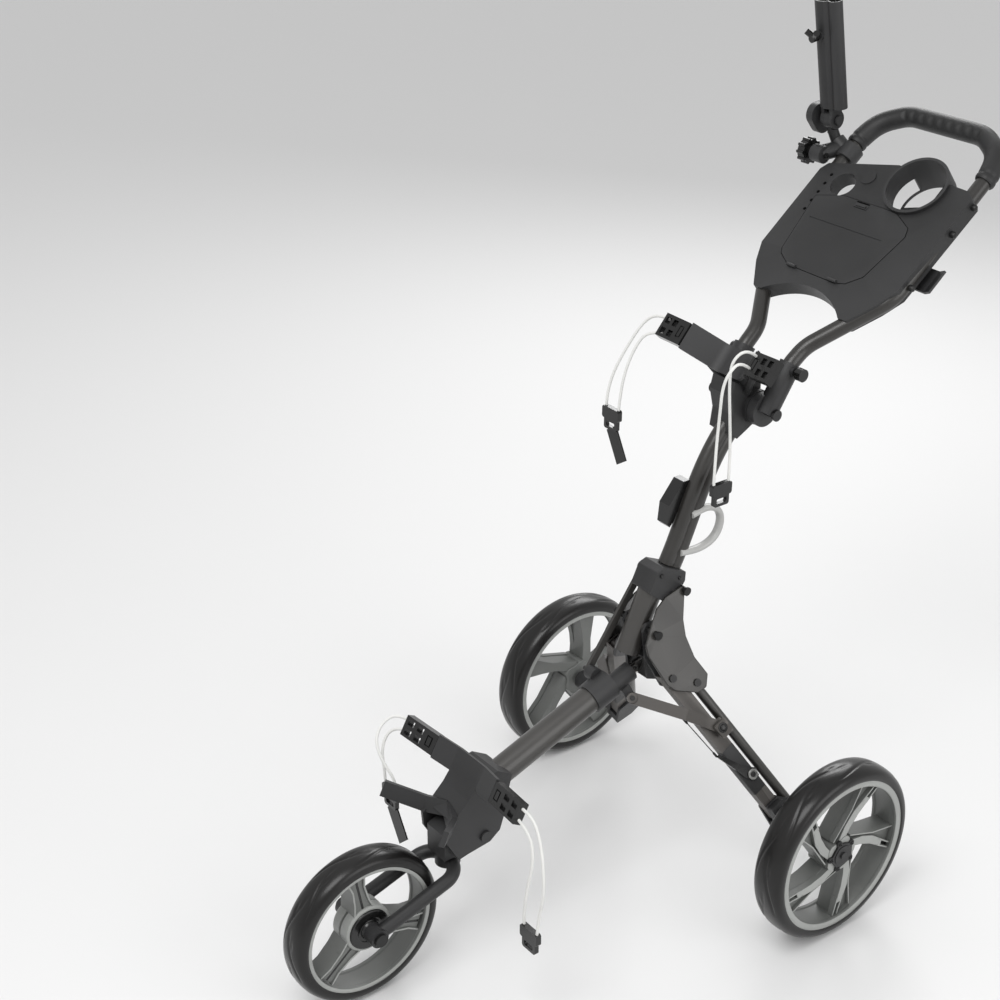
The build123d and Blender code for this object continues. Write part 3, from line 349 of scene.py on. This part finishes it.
def rim_ring(bm, centre, side, size):
    """Deep barrel with a rounded lip on both sides, and a step inside the lip."""
    r, half, lip = size["radius"], size["half"], size["lip"]
    profile = [(half - 3.5, r), (half - 0.8, r - 0.6), (half, r - 2.2), (half, r - lip + 1.5),
               (half - 1.0, r - lip), (half - 5, r - lip - 0.6), (half - 7, r - lip + 1.2),
               (-half + 7, r - lip + 3.5), (-half + 5, r - lip + 2), (-half, r - lip + 2),
               (-half, r - 2.2), (-half + 3.5, r)]
    rings = [wheel_ring(bm, centre, side, profile, a) for a in angles(RIM_STEPS)]
    for i, face in enumerate(skin(bm, rings, wrap=True)):
        # the inside of the barrel gets the darker grey as painted shade
        if i % len(profile) in RIM_INSIDE:
            face.material_index = SHADE_GREY


REAR_SPOKES = 5
REAR_WEB = [(18, 24), (45, 15), (73, 5), (119, -3), (119, -40), (84, -20), (60, -8), (18, 4)]
REAR_FACE = [(18, 16), (48, 11), (72, 1), (84, -8), (95, -18), (92, -27), (80, -21), (66, -12),
             (45, -3), (18, 4)]
REAR_PRONGS = ([(86, -11), (102, -23), (119, -35)], [(84, -22.5), (100, -32.5), (116, -43)])
REAR_RIB = [(20, 24), (45, 15), (73, 5), (120, -3)]
REAR_SLOT = [(93, -21), (104, -30), (117, -39)]
REAR_LAYERS = (                     # outline, low and high along the axle, slot of its top
    # the web is in the darker grey of painted shade
    [(REAR_WEB, -19, 11, SHADE_GREY), (REAR_FACE, 8, 19, PAINTED)]
    + [(strip(prong, 2.8), 8, 19, PAINTED) for prong in REAR_PRONGS]
    # the black strip in the slot between the prongs is painted shade
    + [(strip(REAR_RIB, 2.6), 8, 17.5, PAINTED), (strip(REAR_SLOT, 5.0), 9, 14, BLACK_AND_SLOT_SHADE)])
REAR_HUB = (lobed(25.5, 5.5, REAR_SPOKES, 1), -22, 20)


def rear_rim(tag, side):
    """Rim with five swept spokes, each a web, a raised face with two prongs, and a slot; the web,
    the sides and the barrel's inside are in a darker grey and the slot in black, both painted
    shade.
    """
    bm = bmesh.new()
    rim_ring(bm, rear_centre(side), side, REAR)
    for a in angles(REAR_SPOKES):
        for outline, low, high, top in REAR_LAYERS:
            spoked_plate(bm, rear_centre(side), side, a, outline, low, high, top)
    spoked_plate(bm, rear_centre(side), side, 0, *REAR_HUB)
    # second material: the darker grey of painted shade; third: black, also painted shade in the
    # slots
    piece = new_piece("rim_" + tag, bm, (RIM, RIM_SHADE, GLOSS), "rear_wheel_" + tag)
    add_bevel(piece, RIM_BEVEL)
    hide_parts("rear_rim_" + tag)


CAP_TURN = math.pi / REAR_SPOKES    # the cap's lobes lie between the spokes
CAP_EARS = (lobed(20.5, 3, REAR_SPOKES, 2, turn=CAP_TURN), 18, 23.5)
CAP_DOME = (lobed(16.5, 0, REAR_SPOKES, 1), 22, 24.6)
CAP_SCREW_OUT = 23.5
CAP_BOSS = [(18, 5.4), (22.4, 5.4), (23.4, 4.6)]
CAP_SCREW = [(22, 3.2), (24.4, 3.2), (25, 2.6), (25, 1.6), (23.8, 1.5)]


def hub_cap(tag, side):
    """Dark five-lobed cap with a raised middle and a screw in each lobe."""
    bm = bmesh.new()
    spoked_plate(bm, rear_centre(side), side, 0, *CAP_EARS)
    spoked_plate(bm, rear_centre(side), side, 0, *CAP_DOME)
    for a in angles(REAR_SPOKES, CAP_TURN):
        place = rear_centre(side) + wheel_out(a) * (CAP_SCREW_OUT * MM)
        lathe(bm, place, X_AXIS * side, CAP_BOSS, 28)
        lathe(bm, place, X_AXIS * side, CAP_SCREW, 20, mat=1)
    piece = new_piece("hub_cap_" + tag, bm, (PLASTIC, DARK_STEEL), "rear_wheel_" + tag)
    add_bevel(piece, 0.8, 3)


TREAD_REPEATS = 7
TREAD_ROWS = ((0.0, 0.34, 0.3), (0.5, -0.34, -0.3))  # phase, lean and middle of each row
GROOVE_DEPTH, GROOVE_WIDE, GROOVE_HALF = 1.6, 0.06, 0.42
GROOVE_CURL = 1.3                   # how far the groove's sine has turned at its ends
PIT_DEPTH, PIT_PHASE, PIT_LONG, PIT_WIDE = 1.3, 0.32, 0.07, 0.09
PIT_LEAN, PIT_ROW = 0.9, 0.1
TREAD_MOST = 1.7


def tread(angle, share):
    """Groove depth of the tread in millimetres; share runs from -1 to 1 across the tyre."""
    depth = 0.0
    for shift, lean, row in TREAD_ROWS:
        phase = (angle * TREAD_REPEATS / (2 * math.pi) + shift) % 1.0 - 0.5
        line = row + lean * math.sin(phase * math.pi * GROOVE_CURL)
        fade = max(0.0, 1 - abs(phase / GROOVE_HALF) ** 6)
        depth += GROOVE_DEPTH * fade * math.exp(-((share - line) / GROOVE_WIDE) ** 2)
        pit = (phase - PIT_PHASE) / PIT_LONG
        aside = (share - row * PIT_ROW + lean * PIT_LEAN) / PIT_WIDE
        depth += PIT_DEPTH * math.exp(-pit ** 2 - aside ** 2)
    return min(depth, TREAD_MOST)


TYRE_STEPS, TYRE_ACROSS = 288, 48
SHOULDER_X, SHOULDER_R = 0.85, 0.62  # powers below 1 square up the tyre's round section
TREAD_FROM = 0.45                   # share of the tyre's height where the tread starts
BEAD = 1.5                          # overlap of the tyre and the rim


def tyre_mesh(centre, side, size):
    """Round-shouldered tyre with swooping grooves."""
    half, inner = size["tyre_half"], size["radius"] - BEAD
    crown = size["tyre"] - inner
    profile = []
    for i in range(TYRE_ACROSS + 1):
        b = math.pi * (i / TYRE_ACROSS - 0.5)
        x = half * math.copysign(abs(math.sin(b)) ** SHOULDER_X, math.sin(b))
        q = inner + crown * max(0.0, math.cos(b)) ** SHOULDER_R
        profile.append((x, max(q, inner + 0.2)))
    profile += [(half - 1.5, inner - 1.2), (0, inner - 1.6), (1.5 - half, inner - 1.2)]
    bm = bmesh.new()
    rings = []
    for a in angles(TYRE_STEPS):
        cut = [(x, q - tread(a, x / half) if q > inner + TREAD_FROM * crown else q)
               for x, q in profile]
        rings.append(wheel_ring(bm, centre, side, cut, a))
    skin(bm, rings, wrap=True)
    return bm


for tag, side in SIDES:
    rear_rim(tag, side)
    hub_cap(tag, side)
    rubber = new_piece("tyre_" + tag, tyre_mesh(rear_centre(side), side, REAR), (TYRE,),
                       "rear_wheel_" + tag, 60)
    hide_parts("rear_tyre_" + tag)

FRONT_SPOKES = 3
FRONT_TURN = 1.745                  # radians
FRONT_WEB = [(24, -19), (50, -13), (75, -11), (93, -15), (93, 15), (75, 11), (50, 13), (24, 19)]
FRONT_RIBS = ([(24, -17.5), (50, -11.5), (75, -9.5), (94, -13.5)],
              [(24, 17.5), (50, 11.5), (75, 9.5), (94, 13.5)])
FRONT_SLOT = [(28, 0), (60, 0), (92, 0)]
FRONT_LAYERS = (                    # on both sides of the web; the black slot strip is painted shade
    [(strip(rib, 3.0), 10, 18, PAINTED) for rib in FRONT_RIBS]
    + [(strip(FRONT_SLOT, 4.0), 10, 15.6, BLACK_AND_SLOT_SHADE)])
FRONT_HUB = [(2, 37), (17, 37), (19.5, 35), (19.5, 32.5)]
FRONT_BOSS = [(12, 32), (21, 32), (22.5, 30.5), (22.5, 20), (21, 19), (21, 15), (24, 14),
              (26.5, 12)]


def front_wheel():
    """Rim with three ribbed spokes and a stepped boss on both sides, and its tyre; the webs, the
    sides and the barrel's inside are in a darker grey and the slots in black, both painted shade.
    """
    centre = at(*FRONT_PLACE)
    bm = bmesh.new()
    rim_ring(bm, centre, 1, FRONT)
    for a in angles(FRONT_SPOKES, FRONT_TURN):
        # the web is in the darker grey of painted shade
        spoked_plate(bm, centre, 1, a, FRONT_WEB, -15, 15, SHADE_GREY)
        for _, side in SIDES:
            for outline, low, high, top in FRONT_LAYERS:
                spoked_plate(bm, centre, side, a, outline, low, high, top)
    for _, side in SIDES:
        lathe(bm, centre, X_AXIS * side, FRONT_HUB, 64)
        lathe(bm, centre, X_AXIS * side, FRONT_BOSS, 64, mat=BLACK_AND_SLOT_SHADE)
    # second material: the darker grey of painted shade; third: black, also painted shade in the
    # slots
    piece = new_piece("front_wheel_rim", bm, (RIM, RIM_SHADE, GLOSS), "front_wheel")
    add_bevel(piece, RIM_BEVEL)
    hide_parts("front_rim")
    rubber = new_piece("front_wheel_tyre", tyre_mesh(centre, 1, FRONT), (TYRE,),
                       "front_wheel", 60)
    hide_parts("front_tyre")


front_wheel()

# ---------------------------------------------------------------- places on the legs and handle
SLOPE = math.radians(20)            # of the front tube
TILT = math.radians(26.5)           # of the side plates
SLIDE_DIR = Vector((0, math.cos(SLOPE), math.sin(SLOPE)))  # along the slide, rearward
SLIDE_UP = Vector((0, -math.sin(SLOPE), math.cos(SLOPE)))
PLATE_OUT = Vector((math.cos(TILT), 0, 0)) + SLIDE_UP * math.sin(TILT)   # right side plate
PLATE_DOWN = Vector((math.sin(TILT), 0, 0)) - SLIDE_UP * math.cos(TILT)  # down the right leg
LEG_TOP = Vector((75, -121.2, 372.6)) - PLATE_OUT * 14
LEG_DIR = (SLIDE_DIR * 38.1 + PLATE_DOWN * 279.3).normalized()
LEG_HALF_WIDE, LEG_HALF_THICK = 12, 8
HANDLE = math.radians(39.5)
HANDLE_FOOT = (108.7, 822.7)        # Y and Z that places along the rails are measured from
H_DIR = Vector((0, math.cos(HANDLE), math.sin(HANDLE)))
H_NORM = Vector((0, -math.sin(HANDLE), math.cos(HANDLE)))


def leg_point(back_by, down, out=0.0):
    """A point on the right leg, measured from its top in the plane of the side plate."""
    return LEG_TOP + SLIDE_DIR * back_by + PLATE_DOWN * down + PLATE_OUT * out


def handle_point(x, along, out=0.0):
    """A point by the handle's rails, measured along them and square to them."""
    return Vector((x, *HANDLE_FOOT)) + H_DIR * along + H_NORM * out


def mirrored(vector, side):
    return Vector((vector[0] * side, vector[1], vector[2]))


# ---------------------------------------------------------------- small fasteners
def cap_screw(bm, place, axis, radius, height):
    """Domed cap screw whose hexagon socket is a dark plug of painted shade; place and sizes in
    millimetres.
    """
    head = [(-0.5, radius), (height * 0.6, radius), (height * 0.9, radius * 0.86),
            (height, radius * 0.66), (height, radius * 0.5)]
    socket = [(height * 0.3, radius * 0.46), (height + 0.05, radius * 0.46)]
    lathe(bm, at(*place), axis, head, 28)
    # no hole: a black hexagon painted as the socket's shade
    lathe(bm, at(*place), axis, socket, 6, mat=1)


def collar_ring(bm, place, axis, outer, inner, height):
    """Raised washer under a screw's head."""
    profile = [(-0.4, outer), (height * 0.7, outer), (height, outer - 0.5),
               (height, inner + 0.4), (height * 0.5, inner)]
    lathe(bm, at(*place), axis, profile, 36, mat=2)


def screw_set(name, body, screws, rings=(), ring_mat=STEEL):
    """One piece of screws (place, axis, radius, height) and rings (with outer and inner)."""
    bm = bmesh.new()
    for place, axis, radius, height in screws:
        cap_screw(bm, place, axis, radius, height)
    for place, axis, outer, inner, height in rings:
        collar_ring(bm, place, axis, outer, inner, height)
    # the second material is the sockets' painted shade
    new_piece(name, bm, (DARK_STEEL, GLOSS, ring_mat), body, 30)


STRUT_EAR = leg_point(26, 111.6, 22.7)
BRAKE_HUB = leg_point(33, 208.4, 13.6)
RAIL_OUTSIDE = 146.2                # X where the console's side screws stand
RAIL_SCREWS = {"right": (186, 292, 346), "left": (186, 330)}  # along the rail
HINGE_SCREW = Vector((31, 70, 772))

for tag, side in SIDES:
    out = mirrored(PLATE_OUT, side)
    ear, brake_hub = mirrored(STRUT_EAR, side), mirrored(BRAKE_HUB, side)
    screw_set("leg_screws_" + tag, "leg_" + tag, [(ear, out, 5.2, 3.0)],
              [(ear, out, 8, 5.4, 0.9)], DARK_STEEL)
    screw_set("brake_screw_" + tag, "brake_" + tag, [(brake_hub, out, 4.6, 2.4)],
              [(brake_hub, out, 8.6, 5.6, 1.2)])
    screw_set("console_screws_" + tag, "handle",
              [(mirrored(handle_point(RAIL_OUTSIDE, along, 2), side), X_AXIS * side, 5.2, 6.0)
               for along in RAIL_SCREWS[tag]])
    screw_set("hinge_screws_" + tag, "mast",
              [(mirrored(HINGE_SCREW, side), X_AXIS * side, 3.2, 1.5)])

COLLAR = Vector((0, -99.4, 505.0))
KNEE_DIR = Vector((0, 0.424, 0.9057))
KNEE_BACK = Vector((0, 0.9057, -0.424))
COLLAR_OUT = 22                     # half the collar's width
COLLAR_SCREWS = ((-12, 12, 3.6), (28, 14, 3.0), (24, -12, 3.6))  # back, up, radius
screw_set("collar_screws", "mast",
          [(COLLAR + KNEE_BACK * back_by + KNEE_DIR * up_by + X_AXIS * (COLLAR_OUT * side),
            X_AXIS * side, radius, 2.4)
           for _, side in SIDES for back_by, up_by, radius in COLLAR_SCREWS])


# ---------------------------------------------------------------- handle grip
GRIP_CORNERS = ((131, 392), (131, 404), (121, 444), (76, 472))  # x, along; right half
HANDLE_BEND = 60.0
GRIP_COUNT, GRIP_STEPS = 150, 40
GRIP_RADIUS, GRIP_BORE = 16.5, 12.7
END_SOFT, END_DROP = 4, 1.6         # length and depth of the rounding at each end
END_GROOVE = (9, 12)                # from each end
GROOVE_DROP = 0.9
DIMPLES = range(-4, 5)
DIMPLE_PITCH, DIMPLE_HALF, DIMPLE_ARC, DIMPLE_DROP = 19.0, 6.2, 0.5, 1.8
DIMPLE_SIDE = math.radians(122)


def bezier(start, corner, end, t):
    """Point on the curve that leaves start and reaches end, drawn towards the corner."""
    return start * (1 - t) ** 2 + corner * 2 * t * (1 - t) + end * t ** 2


def grip_line():
    """Middle line of the grip, evenly spaced, and its length."""
    corners = [handle_point(x, along) for x, along in GRIP_CORNERS]
    corners += [mirrored(p, -1) for p in reversed(corners)]
    rounded = [corners[0]]
    for before, corner, after in zip(corners, corners[1:], corners[2:]):
        a, b = (before - corner), (after - corner)
        cut = HANDLE_BEND / math.tan(a.angle(b) / 2)
        start, end = corner + a.normalized() * cut, corner + b.normalized() * cut
        rounded += [bezier(start, corner, end, i / 8) for i in range(9)]
    rounded.append(corners[-1])
    spans = [(q - p).length for p, q in zip(rounded, rounded[1:])]
    total = sum(spans)
    points, walked, k = [], 0.0, 0
    for i in range(GRIP_COUNT + 1):
        target = total * i / GRIP_COUNT
        while k < len(spans) - 1 and walked + spans[k] < target:
            walked += spans[k]
            k += 1
        points.append(rounded[k].lerp(rounded[k + 1], (target - walked) / max(spans[k], 1e-9)))
    return points, total


def dimple(along, around):
    """Depth of the oval finger dimples."""
    v = math.remainder(around - DIMPLE_SIDE, 2 * math.pi) / DIMPLE_ARC
    depth = 0.0
    for row in DIMPLES:
        u = (along - row * DIMPLE_PITCH) / DIMPLE_HALF
        depth = max(depth, DIMPLE_DROP * max(0.0, 1 - (u * u + v * v)) ** 0.5)
    return depth


def grip_ring(bm, place, ahead, radii):
    """Ring of vertices round a point of the grip, one for each radius."""
    out_dir = ahead.cross(H_NORM).normalized()
    return [bm.verts.new(at(*(place + (out_dir * math.cos(a) + H_NORM * math.sin(a)) * r)))
            for a, r in zip(angles(len(radii)), radii)]


def grip():
    """Rubber sleeve with finger dimples, rounded ends and a groove near each end."""
    points, total = grip_line()
    bm = bmesh.new()
    rings = []
    for i, p in enumerate(points):
        ahead = (points[min(i + 1, GRIP_COUNT)] - points[max(i - 1, 0)]).normalized()
        along = total * (i / GRIP_COUNT) - total / 2
        end_gap = total / 2 - abs(along)
        radius = GRIP_RADIUS - END_DROP * max(0.0, 1 - end_gap / END_SOFT) ** 2
        if END_GROOVE[0] < end_gap < END_GROOVE[1]:
            radius -= GROOVE_DROP
        rings.append(grip_ring(bm, p, ahead, [radius - dimple(along, a)
                                              for a in angles(GRIP_STEPS)]))
    bore = [GRIP_BORE] * GRIP_STEPS
    first = grip_ring(bm, points[0], (points[1] - points[0]).normalized(), bore)
    last = grip_ring(bm, points[-1], (points[-1] - points[-2]).normalized(), bore)
    solid(bm, [first] + rings + [last])
    piece = new_piece("grip", bm, (RUBBER,), "handle", 50)
    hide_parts("handle_grip")


grip()


# ---------------------------------------------------------------- carrying loop
LOOP_LINE = [(10, -40, 600), (10, -10, 606), (10, 16, 596), (10, 24, 572), (10, 12, 546),
             (10, -20, 536), (10, -60, 542)]
LOOP_HALF_WIDE, LOOP_HALF_THICK, LOOP_STEPS = 7.5, 5.5, 24


def smooth_line(corners, steps=8):
    """Points along a quadratic B-spline that keeps its end corners."""
    corners = [Vector(c) for c in corners]
    middles = [(p + q) / 2 for p, q in zip(corners, corners[1:])]
    line = [corners[0]]
    for start, corner, end in zip(middles, corners[1:-1], middles[1:]):
        line += [bezier(start, corner, end, i / steps) for i in range(steps)]
    return line + [middles[-1], corners[-1]]


def carrying_loop():
    """Soft D-shaped loop whose two ends run into the rear of the mast."""
    line = smooth_line(LOOP_LINE)
    bm = bmesh.new()
    rings = []
    for i, p in enumerate(line):
        ahead = (line[min(i + 1, len(line) - 1)] - line[max(i - 1, 0)]).normalized()
        thick = ahead.cross(X_AXIS)
        rings.append([bm.verts.new(at(*(p + X_AXIS * (LOOP_HALF_WIDE * math.cos(a))
                                        + thick * (LOOP_HALF_THICK * math.sin(a)))))
                      for a in angles(LOOP_STEPS)])
    solid(bm, rings)
    piece = new_piece("carrying_loop", bm, (CLEAR,), "mast", 60)
    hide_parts("pull_loop")


carrying_loop()


# ---------------------------------------------------------------- brake wires and leg sleeves
WIRE_RADIUS = 0.8
WIRE_ENDS = (leg_point(-14, 70, 2), leg_point(0, 149, 3))
FERRULE = [(-2, 2.4), (6, 2.4), (8, 1.3)]  # along, and times the wire's radius


def brake_wire(tag, side):
    """Straight wire with a ferrule at each end."""
    a, b = (mirrored(end, side) for end in WIRE_ENDS)
    bm = bmesh.new()
    lathe(bm, at(*a), b - a, [(0, WIRE_RADIUS), ((b - a).length, WIRE_RADIUS)], 12)
    for end, turn_to in ((a, b - a), (b, a - b)):
        lathe(bm, at(*end), turn_to, [(x, WIRE_RADIUS * times) for x, times in FERRULE], 14)
    new_piece("brake_wire_" + tag, bm, (DARK_STEEL,), "leg_" + tag)


SLEEVE_ENDS = (150.0, 242.0)        # along the leg
SLEEVE_CORNER, SLEEVE_LEAD = 2, 1.5
SLEEVE_THIN, SLEEVE_THICK = 0.2, 0.75  # wall at the very ends, and between them
CORNERS = ((1, 1, 0), (-1, 1, 90), (-1, -1, 180), (1, -1, 270))  # signs and first angle
CORNER_STEPS = 4


def leg_sleeve(tag, side):
    """Thin moulded sleeve with rounded corners round the square leg."""
    along = mirrored(LEG_DIR, side)
    wide = mirrored(PLATE_OUT.cross(LEG_DIR), side)
    thick = mirrored(PLATE_OUT, side)
    top, foot = SLEEVE_ENDS
    bm = bmesh.new()
    rings = []
    for down, wall in ((top, SLEEVE_THIN), (top + SLEEVE_LEAD, SLEEVE_THICK),
                       (foot - SLEEVE_LEAD, SLEEVE_THICK), (foot, SLEEVE_THIN)):
        middle = mirrored(LEG_TOP, side) + along * down
        ring = []
        for sign_w, sign_n, first in CORNERS:
            for step in range(CORNER_STEPS + 1):
                a = math.radians(first + 90 / CORNER_STEPS * step)
                w = (sign_w * (LEG_HALF_WIDE - SLEEVE_CORNER)
                     + (SLEEVE_CORNER + wall) * math.cos(a))
                n = (sign_n * (LEG_HALF_THICK - SLEEVE_CORNER)
                     + (SLEEVE_CORNER + wall) * math.sin(a))
                ring.append(bm.verts.new(at(*(middle + wide * w + thick * n))))
        rings.append(ring)
    solid(bm, rings)
    new_piece("leg_sleeve_" + tag, bm, (PLASTIC,), "leg_" + tag, 40)


for tag, side in SIDES:
    leg_sleeve(tag, side)
    brake_wire(tag, side)


# ---------------------------------------------------------------- cords
CORD_D = 0.0045
ROUTES = {
    "upper_right": [(76, 11, 866), (76, -9, 883), (66, -29, 867), (58, -24, 828), (53, -14, 775),
                    (50, -6, 722), (50, -5, 684), (50, -5, 652), (50, -35, 652), (50, -35, 684),
                    (52, -36, 735), (57, -38, 785), (64, -43, 825), (75, -43, 853),
                    (76, -22, 867), (76, -1, 850)],
    "upper_left": [(-115, 12, 865), (-144, 12, 866), (-168, 4, 846), (-184, -12, 805),
                   (-195, -28, 765), (-197, -38, 730), (-197, -40, 698), (-167, -40, 698),
                   (-167, -38, 730), (-164, -32, 775), (-156, -20, 815), (-143, -8, 842),
                   (-115, -3, 846)],
    "lower_right": [(137, -455, 318), (165, -458, 322), (195, -466, 305), (214, -474, 268),
                    (218, -476, 222), (209, -478, 182), (206, -478, 140), (176, -478, 140),
                    (176, -478, 175), (182, -476, 222), (186, -470, 262), (172, -464, 296),
                    (137, -462, 304)],
    "lower_left": [(-137, -455, 318), (-164, -460, 320), (-177, -480, 306), (-164, -502, 290),
                   (-138, -508, 270), (-111, -502, 246), (-111, -500, 214), (-141, -500, 214),
                   (-145, -499, 246), (-162, -492, 266), (-172, -478, 284), (-160, -466, 300),
                   (-137, -462, 304)],
}


def cord_curve(name, points, diameter):
    """Smooth round cord through a NURBS route."""
    data = bpy.data.curves.new(name, "CURVE")
    data.dimensions = "3D"
    spline = data.splines.new("NURBS")
    spline.points.add(len(points) - 1)
    for point, place in zip(spline.points, points):
        point.co = (*at(*place), 1)
    spline.order_u = 3
    spline.use_endpoint_u = True
    data.resolution_u = 8
    data.bevel_depth = diameter / 2
    data.bevel_resolution = 4
    data.use_fill_caps = True
    piece = bpy.data.objects.new(name, data)
    bpy.context.collection.objects.link(piece)
    return piece


for name, route in ROUTES.items():
    body = "mast" if name.startswith("upper") else "front_frame"
    piece = cord_curve("elastic_" + name, route, CORD_D)
    piece.data.materials.append(CORD)
    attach(piece, body)
    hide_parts("cord_" + name)

# ---------------------------------------------------------------- stage
FLOOR_SIZE, FLOOR_Z = 40, -0.0005   # metres; the floor lies just under the wheels
FLOOR_GREY, FLOOR_ROUGH = 0.74, 0.7
WORLD_STRENGTH = 0.72
LIGHTS = (                          # name, place, target, size in metres, watts
    ("key", (0.6, -1.6, 3.0), (0, 0, 0.5), 1.6, 46),
    ("fill", (2.8, 0.6, 1.6), (0, 0, 0.6), 2.0, 26),
    ("rim", (-1.8, 2.2, 2.2), (0, 0, 0.6), 1.4, 34),
)

floor_mat = bpy.data.materials.new("floor")
floor_mat.use_nodes = True
floor_bsdf = floor_mat.node_tree.nodes["Principled BSDF"]
floor_bsdf.inputs["Base Color"].default_value = (FLOOR_GREY, FLOOR_GREY, FLOOR_GREY, 1)
floor_bsdf.inputs["Roughness"].default_value = FLOOR_ROUGH
bpy.ops.mesh.primitive_plane_add(size=FLOOR_SIZE, location=(0, 0, FLOOR_Z))
floor = bpy.context.object
floor.name = "floor"
floor.data.materials.append(floor_mat)

world = bpy.data.worlds.new("studio")
bpy.context.scene.world = world
world.use_nodes = True
world.node_tree.nodes["Background"].inputs["Color"].default_value = (1, 1, 1, 1)
world.node_tree.nodes["Background"].inputs["Strength"].default_value = WORLD_STRENGTH


def soft_light(name, place, target, size, power):
    """Square area light turned towards its target."""
    data = bpy.data.lights.new(name, "AREA")
    data.size = size
    data.energy = power
    light = bpy.data.objects.new(name, data)
    bpy.context.collection.objects.link(light)
    light.location = place
    light.rotation_euler = (Vector(target) - Vector(place)).to_track_quat("-Z", "Y").to_euler()


for light in LIGHTS:
    soft_light(*light)
